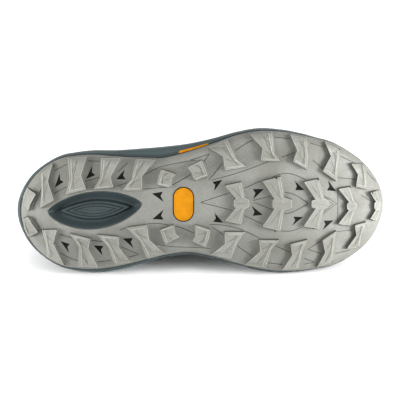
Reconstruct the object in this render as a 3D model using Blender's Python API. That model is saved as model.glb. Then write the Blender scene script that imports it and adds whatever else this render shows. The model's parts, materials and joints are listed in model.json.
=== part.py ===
"""A trail running shoe for the right foot, lying on its medial side.

The shoe is worked out standing and in millimetres: x runs from the heel to the toe, y towards the medial side and
z up from the ground. The finished pieces are then laid on their side, as the shoe's own weight lays it: on the
medial edge of the sole at heel and forefoot, and on the medial side of the upper.
"""

import math

import bmesh
import bpy
import numpy as np
from mathutils import Matrix, Vector

MM = 0.001

# Driving sizes, in millimetres
SOLE_LENGTH = 298.0
BALL_WIDTH = 116.0
COLLAR_HEIGHT = 100.0
HEEL_STACK = 31.0
TOE_SPRING = 24.0
LUG_HEIGHT = 4.5
OUTSOLE_WALL = 2.2
EDGE_ROLL = 6.0
LIP_HEIGHT = 5.0
OVERHANG = 6.0
RIM_INSET = 6.0
RIM_WALL = 3.0
RIM_HEIGHT = 8.0
UPPER_WALL = 2.0
COLLAR_PAD = 4.5
OVERLAY_WALL = 1.1
INSOLE_THICKNESS = 4.5
TONGUE_THICKNESS = 6.0
LACE_RADIUS = 1.7
EYELET_RADIUS = 2.3
GAP = 0.3

# The sole is drawn on a drafting grid: its length is 366 steps, from step 3 to step 369, and the ball is 142.5 wide.
# Every number in the tables below that is called a step is such a share of the length or of the ball width.
GRID_LONG = 366.0
GRID_WIDE = 142.5
STEP_X = SOLE_LENGTH / GRID_LONG
STEP_Y = BALL_WIDTH / GRID_WIDE

# The spine runs from the centre of the heel's round end to the centre of the toe's, in grid steps.
HEEL_CENTRE = np.array((55.3, 9.5))
TOE_CENTRE = np.array((301.0, 1.0))

# Outline of the tread, a row for each station from the heel tip to the toe tip.
# share: way along the spine. fan: direction of the reach, in degrees forward of straight across.
# lateral, medial: reach from the spine to the edge, in grid steps. lip: height of the rolled-up edge.
# over_lat, over_med: how far the foam bulges past the edge. inset: how far its rim leans back in.
EDGE_COLUMNS = ("share", "fan", "lateral", "medial", "lip", "over_lat", "over_med", "inset", "rim")
EDGE_ROWS = (
    (0.00, -90, 52.0, 52.0, 1.40, 0.63, 0.63, 0.80, 1.25),
    (0.00, -60, 51.0, 52.1, 1.35, 0.48, 0.46, 0.82, 1.20),
    (0.00, -30, 51.8, 53.4, 1.20, 0.30, 0.30, 0.85, 1.15),
    (0.00, 0, 55.0, 56.8, 1.00, 0.36, 0.40, 0.95, 1.10),
    (0.08, 0, 55.9, 58.8, 1.00, 0.48, 0.52, 1.05, 1.05),
    (0.18, 0, 53.3, 56.8, 1.00, 0.75, 0.64, 0.95, 1.05),
    (0.28, 0, 51.2, 51.8, 1.00, 1.15, 0.55, 0.55, 1.10),
    (0.37, 0, 50.5, 47.0, 1.00, 1.40, 0.45, 0.30, 1.20),
    (0.47, 0, 55.7, 44.8, 1.00, 1.00, 0.41, 0.30, 1.20),
    (0.57, 0, 63.1, 49.9, 1.00, 0.62, 0.38, 0.45, 1.05),
    (0.67, 0, 70.8, 57.7, 1.00, 0.38, 0.28, 0.70, 0.95),
    (0.76, 0, 74.0, 63.8, 1.00, 0.32, 0.32, 0.85, 0.90),
    (0.86, 0, 72.0, 67.1, 1.00, 0.23, 0.25, 0.90, 0.90),
    (0.94, 0, 67.5, 67.0, 1.10, 0.20, 0.20, 0.90, 0.90),
    (1.00, 0, 63.2, 65.7, 1.25, 0.12, 0.18, 0.90, 0.90),
    (1.00, 30, 58.9, 64.4, 1.55, 0.05, 0.10, 0.90, 0.90),
    (1.00, 60, 61.6, 66.9, 1.90, 0.04, 0.06, 0.95, 0.90),
    (1.00, 90, 67.5, 67.5, 2.10, 0.04, 0.04, 1.00, 0.90),
)
EDGE = {name: np.array([row[i] for row in EDGE_ROWS]) for i, name in enumerate(EDGE_COLUMNS)}
LAST_ROW = len(EDGE_ROWS) - 1
LOOP = 2 * LAST_ROW

# Heights along the sole. along: share of the length. ground: rise of the tread, as a share of the toe spring.
# seat: height of the foam's top above the ground, as a share of the heel stack.
LEVEL_COLUMNS = ("along", "ground", "seat")
LEVEL_ROWS = (
    (0.00, 0.36, 1.14),
    (0.06, 0.15, 1.07),
    (0.12, 0.03, 1.02),
    (0.17, 0.00, 1.00),
    (0.30, 0.00, 0.97),
    (0.42, 0.00, 0.91),
    (0.55, 0.00, 0.84),
    (0.70, 0.00, 0.79),
    (0.78, 0.10, 0.81),
    (0.86, 0.33, 0.90),
    (0.94, 0.69, 1.08),
    (1.00, 1.02, 1.28),
)
LEVEL = {name: np.array([row[i] for row in LEVEL_ROWS]) for i, name in enumerate(LEVEL_COLUMNS)}

# Side of the foam from its lower edge to its rim: a swell, one groove halfway up, and a wall that leans in.
SIDE_COLUMNS = ("height", "swell")
SIDE_ROWS = (
    (0.00, 0.35),
    (0.12, 0.88),
    (0.30, 1.00),
    (0.44, 0.92),
    (0.50, 0.58),
    (0.57, 0.76),
    (0.80, 0.50),
    (1.00, 0.20),
)
SIDE = {name: np.array([row[i] for row in SIDE_ROWS]) for i, name in enumerate(SIDE_COLUMNS)}
LEAN_START = 0.3

# The upper, a row for each station of the outline. x, y, z: its top line, as shares of the sole's length, the
# ball width and the collar height, with y counted from the spine. rise, flare: the handle at the rim, as shares of
# the wall's height and of the ball width. shoulder, puff, drop: the handle at the top line, as shares of the way
# out to the rim, of the ball width and of the wall's height. pad: share of the collar's padding.
UPPER_COLUMNS = ("x", "y", "z", "rise", "flare", "shoulder", "puff", "drop", "pad")
UPPER_ROWS = (
    (0.046, 0.000, 1.000, 0.38, 0.040, 0.00, 0.050, 0.35, 1.00),
    (0.056, 0.115, 0.990, 0.38, 0.037, 0.00, 0.050, 0.35, 1.00),
    (0.088, 0.208, 0.950, 0.38, 0.030, 0.00, 0.045, 0.35, 1.00),
    (0.138, 0.268, 0.880, 0.38, 0.024, 0.00, 0.038, 0.36, 1.00),
    (0.193, 0.296, 0.825, 0.38, 0.022, 0.05, 0.030, 0.36, 1.00),
    (0.253, 0.304, 0.805, 0.38, 0.024, 0.10, 0.020, 0.36, 1.00),
    (0.310, 0.284, 0.840, 0.38, 0.025, 0.20, 0.010, 0.34, 0.95),
    (0.358, 0.240, 0.930, 0.38, 0.025, 0.30, 0.000, 0.32, 0.65),
    (0.402, 0.205, 1.020, 0.38, 0.025, 0.38, 0.000, 0.30, 0.35),
    (0.462, 0.185, 0.985, 0.40, 0.025, 0.43, 0.000, 0.26, 0.25),
    (0.522, 0.170, 0.915, 0.43, 0.025, 0.46, 0.000, 0.22, 0.15),
    (0.575, 0.158, 0.850, 0.47, 0.025, 0.48, 0.000, 0.18, 0.10),
    (0.618, 0.142, 0.797, 0.50, 0.024, 0.50, 0.000, 0.16, 0.05),
    (0.645, 0.122, 0.764, 0.54, 0.022, 0.50, 0.000, 0.15, 0.00),
    (0.664, 0.098, 0.742, 0.58, 0.020, 0.50, 0.000, 0.15, 0.00),
    (0.677, 0.066, 0.727, 0.60, 0.018, 0.50, 0.000, 0.15, 0.00),
    (0.685, 0.034, 0.718, 0.60, 0.016, 0.50, 0.000, 0.15, 0.00),
    (0.688, 0.000, 0.715, 0.60, 0.016, 0.50, 0.000, 0.15, 0.00),
)
UPPER = {name: np.array([row[i] for row in UPPER_ROWS]) for i, name in enumerate(UPPER_COLUMNS)}
PAD_START = 0.35
PAD_FULL = 0.62

# Edge lugs, each a bow tie with three cross lines: its outer end, its neck and its inner end.
# Each cross line has a corner on the heel's side and one on the toe's, in grid steps from the heel tip and the axis.
EDGE_LUGS = {
    "heel_back_lateral": ((8, -15), (20, -8), (5, -4), (14, 3), (6, 7), (12, 9)),
    "heel_back_medial": ((11, 36), (22, 30), (7, 27), (16, 22), (7, 17), (12, 15)),
    "heel_lateral_1": ((25, -28), (37, -38), (26, -12), (32, -21), (24, 6), (38, -2)),
    "heel_lateral_2": ((52, -44), (71, -46), (54, -22), (65, -27), (50, -8), (70, -13)),
    "heel_lateral_3": ((85, -44), (104, -44), (84, -24), (94, -25), (77, -13), (97, -15)),
    "heel_lateral_4": ((119, -44), (138, -43), (115, -23), (125, -26), (105, -12), (125, -12)),
    "heel_medial_1": ((31, 55), (48, 63), (30, 41), (37, 41), (26, 28), (41, 27)),
    "heel_medial_2": ((62, 64), (82, 65), (63, 44), (72, 46), (54, 31), (74, 36)),
    "heel_medial_3": ((98, 62), (114, 60), (92, 44), (102, 44), (81, 32), (102, 34)),
    "heel_medial_4": ((130, 56), (148, 51), (124, 39), (132, 37), (110, 25), (130, 22)),
    "waist_lateral_1": ((144, -33), (159, -28), (142, -26), (155, -25), (140, -18), (153, -15)),
    "waist_lateral_2": ((170, -35), (184, -42), (174, -30), (187, -35), (177, -22), (190, -27)),
    "waist_medial_1": ((148, 41), (162, 34), (145, 33), (158, 30), (143, 27), (156, 22)),
    "waist_medial_2": ((175, 38), (188, 44), (178, 33), (191, 36), (178, 22), (193, 27)),
    "fore_lateral_1": ((190, -55), (209, -63), (205, -46), (218, -43), (207, -32), (229, -36)),
    "fore_lateral_2": ((231, -71), (253, -72), (244, -54), (255, -50), (242, -42), (262, -41)),
    "fore_lateral_3": ((271, -70), (287, -64), (278, -52), (289, -46), (274, -41), (288, -33)),
    "fore_lateral_4": ((306, -60), (321, -52), (312, -46), (319, -38), (304, -31), (318, -21)),
    "fore_lateral_5": ((333, -38), (346, -37), (340, -27), (348, -26), (338, -15), (349, -12)),
    "fore_medial_1": ((193, 52), (213, 56), (207, 41), (219, 40), (207, 29), (227, 29)),
    "fore_medial_2": ((227, 62), (247, 65), (242, 48), (253, 46), (241, 37), (261, 37)),
    "fore_medial_3": ((264, 67), (280, 66), (274, 52), (284, 48), (272, 41), (289, 37)),
    "fore_medial_4": ((299, 65), (314, 60), (307, 50), (316, 44), (304, 38), (318, 29)),
    "fore_medial_5": ((329, 47), (342, 46), (339, 34), (344, 33), (337, 24), (349, 21)),
}

# Centre lugs, each two wings and a knuckle, mirrored about its axis. wing, neck, knuckle: corners along the shoe, on
# the heel's and on the toe's side. reach: of the wings' two corners from the axis. half: of the knuckle's width.
CENTRE_COLUMNS = (
    "axis", "wing_heel", "wing_toe", "neck_heel", "neck_toe",
    "knuckle_heel", "knuckle_toe", "reach_heel", "reach_toe", "half",
)
CENTRE_LUGS = {
    "centre_1": (0.5, 207, 223, 218, 226, 216, 231, 17.5, 21.0, 3.5),
    "centre_2": (1.0, 244, 262, 256, 265, 254, 273, 22.5, 27.0, 4.0),
    "centre_3": (1.5, 285, 300, 297, 305, 293, 310, 22.0, 25.0, 3.5),
    "centre_4": (4.5, 320, 332, 331, 336, 329, 339, 17.5, 19.5, 3.0),
    "centre_5": (5.0, 353, 360, 359, 363, 357.5, 364, 13.5, 15.0, 3.0),
}
LUG_DRAFT = 0.9
LUG_ROOT = 0.8
LUG_EDGE_FADE = 0.45
LUG_REACH_MOST = 0.975

# The eye-shaped window in the heel, in grid steps, and the foam's pocket and raised leaf behind it.
WINDOW_TIPS = np.array(((31.0, 10.0), (125.0, 2.0)))
WINDOW_BULGES = (16.6, 21.1)
WINDOW_SIDE = 18
WINDOW_ROUNDING = 0.63
# Rings of the cutter. rise: height above the web, below 0 outside the sole. long, wide: shares of the window.
POCKET_RINGS = (
    (-12.0, 1.00, 1.00),
    (2.4, 1.00, 1.00),
    (7.6, 0.86, 0.68),
    (8.0, 0.79, 0.58),
    (5.0, 0.74, 0.47),
    (6.0, 0.56, 0.27),
    (4.8, 0.50, 0.20),
)

# The plain amber inlay in the waist, a pill shape in grid steps
INLAY_CENTRE = np.array((166.0, 2.0))
INLAY_HALF_WIDTH = 9.5
INLAY_HALF_LENGTH = 16.5
INLAY_POCKET = 1.2
INLAY_PROUD = 0.6
INLAY_CORNER = 8

# Overlays on the upper. Rows of the outline where each starts and ends, and heights along the wall.
EYESTAY_START = 8.5
EYESTAY_BAND = (1.4, 5.8, 10.2, 14.6)
TOE_CAP_START = 13.5
TOE_CAP_HEIGHT = 22.0
TOE_CAP_END_SHARE = 0.35
COUNTER_START = 4.0
COUNTER_HEIGHT = 38.0
COUNTER_END_SHARE = 0.30
OVERLAY_LIFT = 0.9
OVERLAY_ROWS = (0.0, 0.22, 0.45, 0.72, 1.0)
OVERLAY_GAP = 0.4

# Lacing: the outline's rows where the eyelets sit, front pair first, and their distance from the top line
EYELET_ROWS = (14.3, 12.7, 11.5, 10.5, 9.6, 8.75)
EYELET_INSET = 8.0
EYELET_SIDES = 6
EYELET_CUT_UNDER = 3.0
EYELET_CUT_OVER = 5.0
# Where a strand crosses the throat's edge: part of the way between its two rows, distance from the top line, and
# how much higher it lies there and over the tongue's crown
LACE_EDGE_PART = 0.14
LACE_EDGE_INSET = 1.0
LACE_EDGE_LIFT = 0.6
LACE_CROWN_LIFT = 0.9
LACE_SIDES = 5
LACE_STEPS = 2

# Tongue: rows of the outline that it passes, then its free top above the throat
TONGUE_ROWS = (16.2, 15.2, 14.2, 13.1, 12.0, 11.0, 10.0, 9.1, 8.3)
TONGUE_WING = (13.0, 6.0, 0.0)
TONGUE_CROWN = 0.12
TONGUE_CLEARANCE = 0.8
TONGUE_SECTION = (0.25, 0.5, 0.8, 1.0, 1.0, 1.0, 0.8, 0.5, 0.25)
# back, up: shift of each free row from the top throat row, in millimetres. wide: share of that row's width.
# flat: share of that row's height from its wings to its crown.
TONGUE_TOP = ((-5.0, 7.0, 0.78, 0.85), (-11.0, 14.0, 0.86, 0.62), (-18.0, 21.0, 0.94, 0.48), (-23.0, 25.0, 0.80, 0.38))

# Mesh fineness
RING_STEP = 0.5


# Curves through the tables
def hermite(knots, values, slopes, at):
    at = np.asarray(at, float)
    i = np.clip(np.searchsorted(knots, at, side="right") - 1, 0, len(knots) - 2)
    width = knots[i + 1] - knots[i]
    u = (at - knots[i]) / width
    return (
        values[i] * (2 * u**3 - 3 * u**2 + 1)
        + values[i + 1] * (3 * u**2 - 2 * u**3)
        + slopes[i] * width * (u**3 - 2 * u**2 + u)
        + slopes[i + 1] * width * (u**3 - u**2)
    )


def level(column, x):
    """A column of the heights table at x, through its rows with no overshoot."""
    knots = LEVEL["along"] * SOLE_LENGTH
    values = LEVEL[column]
    steps = np.diff(values) / np.diff(knots)
    slopes = np.concatenate((steps[:1], np.zeros(len(steps) - 1), steps[-1:]))
    product = steps[:-1] * steps[1:]
    same = product > 0
    slopes[1:-1][same] = 2 * product[same] / (steps[:-1] + steps[1:])[same]
    return hermite(knots, values, slopes, np.clip(x, 0, SOLE_LENGTH))


def around(lateral, medial, tau):
    """A smooth closed curve through the lateral column from heel to toe and back through the medial one."""
    once = np.concatenate((lateral, medial[-2:0:-1]))
    values = np.concatenate((once[-3:], once, once[:4]))
    knots = np.arange(-3, LOOP + 4, dtype=float)
    return hermite(knots, values, np.gradient(values), np.mod(tau, LOOP))


def both(table, column, tau):
    return around(table[column], table[column], tau)


def row_of(tau):
    return LAST_ROW - np.abs(LAST_ROW - np.mod(tau, LOOP))


def side_of(tau):
    """-1 on the lateral side and 1 on the medial side."""
    return np.where(np.mod(tau, LOOP) < LAST_ROW, -1.0, 1.0)


# The sole's surfaces
def foot_of(tau):
    share = np.interp(row_of(tau), np.arange(LAST_ROW + 1), EDGE["share"])
    grid = HEEL_CENTRE + share[..., None] * (TOE_CENTRE - HEEL_CENTRE)
    return grid * (STEP_X, STEP_Y)


def reach_of(tau):
    """Vector from the spine to the tread's edge, in millimetres."""
    angle = np.radians(np.interp(row_of(tau), np.arange(LAST_ROW + 1), EDGE["fan"]))
    steps = around(EDGE["lateral"], EDGE["medial"], tau)
    return np.stack((np.sin(angle) * steps * STEP_X, side_of(tau) * np.cos(angle) * steps * STEP_Y), axis=-1)


def outward_of(tau):
    reach = reach_of(tau)
    return reach / np.linalg.norm(reach, axis=-1, keepdims=True)


def edge_of(tau, out):
    """The tread's edge, moved outward by some millimetres."""
    return foot_of(tau) + reach_of(tau) + outward_of(tau) * np.asarray(out)[..., None]


def ground(x):
    return level("ground", x) * TOE_SPRING


def seat(x):
    return level("seat", x) * HEEL_STACK


def lip_of(tau):
    return both(EDGE, "lip", tau) * LIP_HEIGHT


def tray(tau, place, offset):
    """The tread's web between the lugs, moved into the sole by an offset.

    place runs from 0 at the spine to 1 where the edge starts to roll up, and to 2 at the edge itself.
    """
    tau = np.asarray(tau, float)
    place = np.broadcast_to(np.asarray(place, float), tau.shape)
    roll = np.clip(place - 1, 0, 1)
    flat = np.clip(place, 0, 1)
    length = np.linalg.norm(reach_of(tau), axis=-1)
    level_part = np.sqrt(np.maximum(1 - roll**2, 0))
    slope = np.arctan2(lip_of(tau) * roll, EDGE_ROLL * level_part)
    slope = np.where(roll > 0, slope, 0.0)
    out = (length - EDGE_ROLL) * flat + EDGE_ROLL * roll - offset * np.sin(slope)
    xy = foot_of(tau) + outward_of(tau) * out[..., None]
    z = ground(xy[..., 0]) + LUG_HEIGHT + lip_of(tau) * (1 - level_part) + offset * np.cos(slope)
    return np.concatenate((xy, z[..., None]), axis=-1)


def place_of(point):
    """(tau, place) of a point of the tread given as x and y."""
    grid = np.asarray(point, float) / (STEP_X, STEP_Y)
    share = (grid[0] - HEEL_CENTRE[0]) / (TOE_CENTRE[0] - HEEL_CENTRE[0])
    away = np.asarray(point, float) - (HEEL_CENTRE + np.clip(share, 0, 1) * (TOE_CENTRE - HEEL_CENTRE)) * (
        STEP_X,
        STEP_Y,
    )
    rows = np.arange(LAST_ROW + 1)
    first, last = np.flatnonzero(EDGE["fan"] == 0)[[0, -1]]
    if 0 < share < 1:
        row = np.interp(share, EDGE["share"][first : last + 1], rows[first : last + 1])
    else:
        steps = away / (STEP_X, STEP_Y)
        row = np.interp(math.degrees(math.atan2(steps[0], abs(steps[1]))), EDGE["fan"], rows)
        if share <= 0:
            row = min(row, first)
        else:
            row = max(row, last)
    tau = float(row if away[1] < 0 else LOOP - row)
    length = float(np.linalg.norm(reach_of(np.array(tau))))
    distance = min(float(np.linalg.norm(away)), length * LUG_REACH_MOST)
    inner = length - EDGE_ROLL
    return tau, distance / inner if distance < inner else 1 + (distance - inner) / EDGE_ROLL


def side_out(tau, height):
    """How far the foam's side stands out from the tread's edge, at a share of its height."""
    swell = np.interp(height, SIDE["height"], SIDE["swell"])
    lean = np.clip((height - LEAN_START) / (1 - LEAN_START), 0, 1)
    over = around(EDGE["over_lat"], EDGE["over_med"], tau) * OVERHANG
    return over * swell - both(EDGE, "inset", tau) * RIM_INSET * lean**1.5


def rim_top(tau):
    x = edge_of(tau, side_out(tau, 1.0))[..., 0]
    return seat(x) + both(EDGE, "rim", tau) * RIM_HEIGHT


def with_height(xy, z):
    return np.concatenate((xy, np.broadcast_to(z, xy.shape[:-1])[..., None]), axis=-1)


# The upper's surface
def spine_y(x):
    grid = np.interp(x / STEP_X, (HEEL_CENTRE[0], TOE_CENTRE[0]), (HEEL_CENTRE[1], TOE_CENTRE[1]))
    return grid * STEP_Y


def feather_of(tau):
    """The upper's lower edge, just inside the foam's rim."""
    return edge_of(tau, side_out(tau, 1.0) - RIM_WALL - GAP)


def meridian_handles(tau):
    """The four handles of the curve from the rim up to the top line."""
    low = with_height(feather_of(tau), rim_top(tau) + 2 * GAP)
    x = both(UPPER, "x", tau) * SOLE_LENGTH
    y = around(-UPPER["y"], UPPER["y"], tau) * BALL_WIDTH + spine_y(x)
    top = np.stack((x, y, both(UPPER, "z", tau) * COLLAR_HEIGHT), axis=-1)
    height = (top - low)[..., 2]
    outward = outward_of(tau)
    low_handle = low.copy()
    low_handle[..., :2] += outward * (both(UPPER, "flare", tau) * BALL_WIDTH)[..., None]
    low_handle[..., 2] += both(UPPER, "rise", tau) * height
    top_handle = top.copy()
    top_handle[..., :2] += (low - top)[..., :2] * both(UPPER, "shoulder", tau)[..., None]
    top_handle[..., :2] += outward * (both(UPPER, "puff", tau) * BALL_WIDTH)[..., None]
    top_handle[..., 2] -= both(UPPER, "drop", tau) * height
    return low, low_handle, top_handle, top


def meridians(tau, steps=48):
    """Points up each meridian, and the length run to each of them."""
    b = np.linspace(0, 1, steps + 1)[:, None, None]
    low, low_handle, top_handle, top = meridian_handles(tau)
    points = (
        (1 - b) ** 3 * low
        + 3 * (1 - b) ** 2 * b * low_handle
        + 3 * (1 - b) * b**2 * top_handle
        + b**3 * top
    )
    runs = np.linalg.norm(np.diff(points, axis=0), axis=-1)
    return points, np.concatenate((np.zeros((1, len(tau))), np.cumsum(runs, axis=0)))


def wall_length(tau):
    return meridians(np.atleast_1d(np.asarray(tau, float)))[1][-1]


def skin(tau, share):
    """Points of the upper's outer face. share runs from 0 at the rim to 1 at the top line."""
    tau = np.atleast_1d(np.asarray(tau, float))
    share = np.broadcast_to(np.asarray(share, float), tau.shape)
    points, runs = meridians(tau)
    found = [
        [np.interp(share[n] * runs[-1, n], runs[:, n], points[:, n, axis]) for axis in range(3)]
        for n in range(len(tau))
    ]
    return np.array(found)


def skin_normal(tau, share):
    tau = np.atleast_1d(np.asarray(tau, float))
    share = np.broadcast_to(np.asarray(share, float), tau.shape)
    across = skin(tau + 0.08, share) - skin(tau - 0.08, share)
    up = skin(tau, np.minimum(share + 0.02, 1)) - skin(tau, np.maximum(share - 0.02, 0))
    normal = np.cross(across, up)
    return normal / np.linalg.norm(normal, axis=-1, keepdims=True)


def lifted_skin(tau, share, offset):
    """The upper's outer face, moved along its normal, outward where the offset is positive."""
    return skin(tau, share) + skin_normal(tau, share) * np.reshape(offset, (-1, 1))


def wall_of(tau, share):
    """Thickness of the upper's wall, padded around the collar."""
    ramp = np.clip((np.asarray(share, float) - PAD_START) / (PAD_FULL - PAD_START), 0, 1)
    ramp = ramp * ramp * (3 - 2 * ramp)
    return UPPER_WALL + COLLAR_PAD * np.clip(both(UPPER, "pad", tau), 0, 1) * ramp


# Meshes
def material(name, colour, roughness, metallic=0.0):
    made = bpy.data.materials.new(name)
    made.use_nodes = True
    shader = made.node_tree.nodes["Principled BSDF"]
    shader.inputs["Base Color"].default_value = (*colour, 1.0)
    shader.inputs["Roughness"].default_value = roughness
    shader.inputs["Metallic"].default_value = metallic
    made.diffuse_color = (*colour, 1.0)
    return made


def object_from(name, points, faces, parent, paint=None, sharp=35.0):
    """An object from points in millimetres and faces, with doubled points joined and its faces pointing out."""
    mesh = bpy.data.meshes.new(name)
    made = bmesh.new()
    corners = [made.verts.new(Vector(point) * MM) for point in points]
    for face in faces:
        if len({tuple(np.round(points[i], 6)) for i in face}) > 2:
            made.faces.new([corners[i] for i in face])
    bmesh.ops.remove_doubles(made, verts=made.verts, dist=1e-6)
    bmesh.ops.recalc_face_normals(made, faces=made.faces)
    if made.calc_volume(signed=True) < 0:
        bmesh.ops.reverse_faces(made, faces=made.faces)
    made.to_mesh(mesh)
    made.free()
    mesh.shade_smooth()
    mesh.set_sharp_from_angle(angle=math.radians(sharp))
    obj = bpy.data.objects.new(name, mesh)
    if paint:
        mesh.materials.append(paint)
    bpy.context.scene.collection.objects.link(obj)
    obj.parent = parent
    return obj


def ring_faces(ring_count, ring_size, wraps):
    faces = []
    for k in range(ring_count if wraps else ring_count - 1):
        low = k * ring_size
        high = (k + 1) % ring_count * ring_size
        for i in range(ring_size):
            j = (i + 1) % ring_size
            faces.append((low + i, low + j, high + j, high + i))
    return faces


def ring_solid(name, rings, parent, paint, wraps=False):
    """A solid from closed rings. With wraps, the last ring meets the first; otherwise both lie on the spine."""
    points = np.concatenate(rings)
    return object_from(name, points, ring_faces(len(rings), len(rings[0]), wraps), parent, paint)


def shell_solid(name, outer, inner, parent, paint=None):
    """A thin solid between two grids of points, each of rows by columns."""
    rows, columns = outer.shape[:2]
    points = np.concatenate((outer.reshape(-1, 3), inner.reshape(-1, 3)))
    back = rows * columns
    faces = []
    for r in range(rows - 1):
        for c in range(columns - 1):
            a = r * columns + c
            quad = (a, a + 1, a + columns + 1, a + columns)
            faces.append(quad)
            faces.append(tuple(back + i for i in quad[::-1]))
    border = [c for c in range(columns)]
    border += [r * columns + columns - 1 for r in range(1, rows)]
    border += [(rows - 1) * columns + c for c in range(columns - 2, -1, -1)]
    border += [r * columns for r in range(rows - 2, 0, -1)]
    for a, b in zip(border, border[1:] + border[:1]):
        faces.append((a, b, back + b, back + a))
    return object_from(name, points, faces, parent, paint)


def helper(obj):
    obj.hide_render = True
    obj.display_type = "WIRE"
    return obj


def boolean(obj, name, operation, other):
    modifier = obj.modifiers.new(name, "BOOLEAN")
    modifier.operation = operation
    modifier.object = other
    modifier.solver = "EXACT"


# Outsole
def loop_stations():
    return np.arange(0, LOOP, RING_STEP)


def grown(corners, by):
    """A closed outline in the plane, moved outward by some millimetres."""
    corners = np.asarray(corners, float)
    following = np.roll(corners, -1, axis=0)
    area = np.sum(corners[:, 0] * following[:, 1] - following[:, 0] * corners[:, 1])
    along = (following - corners) / np.linalg.norm(following - corners, axis=1, keepdims=True)
    normals = np.stack((along[:, 1], -along[:, 0]), axis=1) * np.sign(area)
    before = np.roll(normals, 1, axis=0)
    mitre = normals + before
    return corners + by * mitre / np.maximum(np.sum(mitre * normals, axis=1, keepdims=True), 0.5)


def lug_points(outline):
    """Top and root points of a lug from its outline in grid steps, in order round it."""
    corners = np.asarray(outline, float) * (STEP_X, STEP_Y)
    tops, roots = [], []
    for corner in corners:
        tau, place = place_of(corner)
        point = tray(np.array(tau), place, 0.0)
        fade = LUG_EDGE_FADE * max(place - 1, 0) ** 2
        tops.append((point[0], point[1], point[2] - LUG_HEIGHT * (1 - fade)))
    for corner in grown(corners, LUG_DRAFT):
        tau, place = place_of(corner)
        roots.append(tray(np.array(tau), place, LUG_ROOT))
    return tops, roots


def lug_strip(pairs):
    """Points and faces of one lug from pairs of corners, heel side and toe side, from end to end."""
    outline = [pair[0] for pair in pairs] + [pair[1] for pair in pairs[::-1]]
    tops, roots = lug_points(outline)
    count = len(outline)
    faces = []
    for k in range(len(pairs) - 1):
        quad = (k, k + 1, count - 2 - k, count - 1 - k)
        faces.append(quad)
        faces.append(tuple(count + i for i in quad[::-1]))
    for a in range(count):
        b = (a + 1) % count
        faces.append((a, b, count + b, count + a))
    return tops + roots, faces


def edge_pairs(row):
    """Pairs of corners of an edge lug, with one more halfway from its outer end to its neck."""
    outer, neck, inner = row[0:2], row[2:4], row[4:6]
    halfway = tuple(((a[0] + b[0]) / 2, (a[1] + b[1]) / 2) for a, b in zip(outer, neck))
    return [outer, halfway, neck, inner]


def centre_pairs(row):
    """Pairs of corners of a centre lug, from its lateral wing over its knuckle to its medial wing."""
    size = dict(zip(CENTRE_COLUMNS, row))
    neck = size["half"] + 1.0
    half = (
        ((size["wing_heel"], size["reach_heel"]), (size["wing_toe"], size["reach_toe"])),
        ((size["neck_heel"], neck), (size["neck_toe"], neck + 1.5)),
        ((size["knuckle_heel"], size["half"]), (size["knuckle_toe"], size["half"])),
    )
    lateral = [tuple((x, size["axis"] - y) for x, y in pair) for pair in half]
    medial = [tuple((x, size["axis"] + y) for x, y in pair) for pair in half[::-1]]
    return lateral + medial


def lugs(parent):
    """Every lug, in one helper that the outsole is joined with."""
    points, faces = [], []
    strips = [edge_pairs(row) for row in EDGE_LUGS.values()]
    strips += [centre_pairs(row) for row in CENTRE_LUGS.values()]
    for pairs in strips:
        new_points, new_faces = lug_strip(pairs)
        faces += [tuple(len(points) + i for i in face) for face in new_faces]
        points += [tuple(point) for point in new_points]
    return helper(object_from("lug_union", points, faces, parent))


def window_ring(rise, long, wide):
    """A ring of the heel window's eye shape, scaled about its middle."""
    s = (1 - np.cos(np.linspace(0, math.pi, WINDOW_SIDE + 1))) / 2
    swell = np.sin(math.pi * s) ** WINDOW_ROUNDING
    start, end = WINDOW_TIPS
    axis = start + s[:, None] * (end - start)
    lateral = axis - np.stack((np.zeros_like(s), swell * WINDOW_BULGES[0]), axis=1)
    medial = axis + np.stack((np.zeros_like(s), swell * WINDOW_BULGES[1]), axis=1)
    ring = np.concatenate((lateral, medial[-2:0:-1]))
    middle = (start + end) / 2 + (0, (WINDOW_BULGES[1] - WINDOW_BULGES[0]) / 2)
    xy = (middle + (ring - middle) * (long, wide)) * (STEP_X, STEP_Y)
    return with_height(xy, ground(xy[:, 0]) + LUG_HEIGHT + rise)


def window_cutter(parent):
    rings = [window_ring(*row) for row in POCKET_RINGS]
    points = np.concatenate(rings)
    count = len(rings[0])
    faces = ring_faces(len(rings), count, False)
    faces.append(tuple(range(count))[::-1])
    faces.append(tuple(range(len(points) - count, len(points))))
    return helper(object_from("window_cutter", points, faces, parent))


def inlay_outline(grow):
    """The inlay's pill shape, moved outward by some millimetres."""
    width = INLAY_HALF_WIDTH * STEP_X + grow
    straight = INLAY_HALF_LENGTH * STEP_Y + grow - width
    turn = np.linspace(0, math.pi, INLAY_CORNER + 1)
    end = np.stack((width * np.cos(turn), straight + width * np.sin(turn)), axis=1)
    return np.concatenate((end, -end)) + INLAY_CENTRE * (STEP_X, STEP_Y)


def inlay_prism(name, grow, low, high, parent, paint=None):
    outline = inlay_outline(grow)
    count = len(outline)
    points = np.concatenate((with_height(outline, low), with_height(outline, high)))
    faces = ring_faces(2, count, False)
    faces.append(tuple(range(count))[::-1])
    faces.append(tuple(range(count, 2 * count)))
    return object_from(name, points, faces, parent, paint)


OUTSOLE_PLACES = (0.0, 0.5, 1.0, 1.55, 2.0)


def outsole(parent, paint, window):
    tau = loop_stations()
    web = [tray(tau, place, 0.0) for place in OUTSOLE_PLACES]
    inside = [tray(tau, place, OUTSOLE_WALL) for place in OUTSOLE_PLACES[::-1]]
    sole = ring_solid("outsole", web + inside, parent, paint)
    boolean(sole, "lugs", "UNION", lugs(parent))
    boolean(sole, "window", "DIFFERENCE", window)
    pocket = inlay_prism("inlay_cutter", GAP, 0.0, LUG_HEIGHT + INLAY_POCKET, parent)
    boolean(sole, "inlay", "DIFFERENCE", helper(pocket))
    return sole


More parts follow.
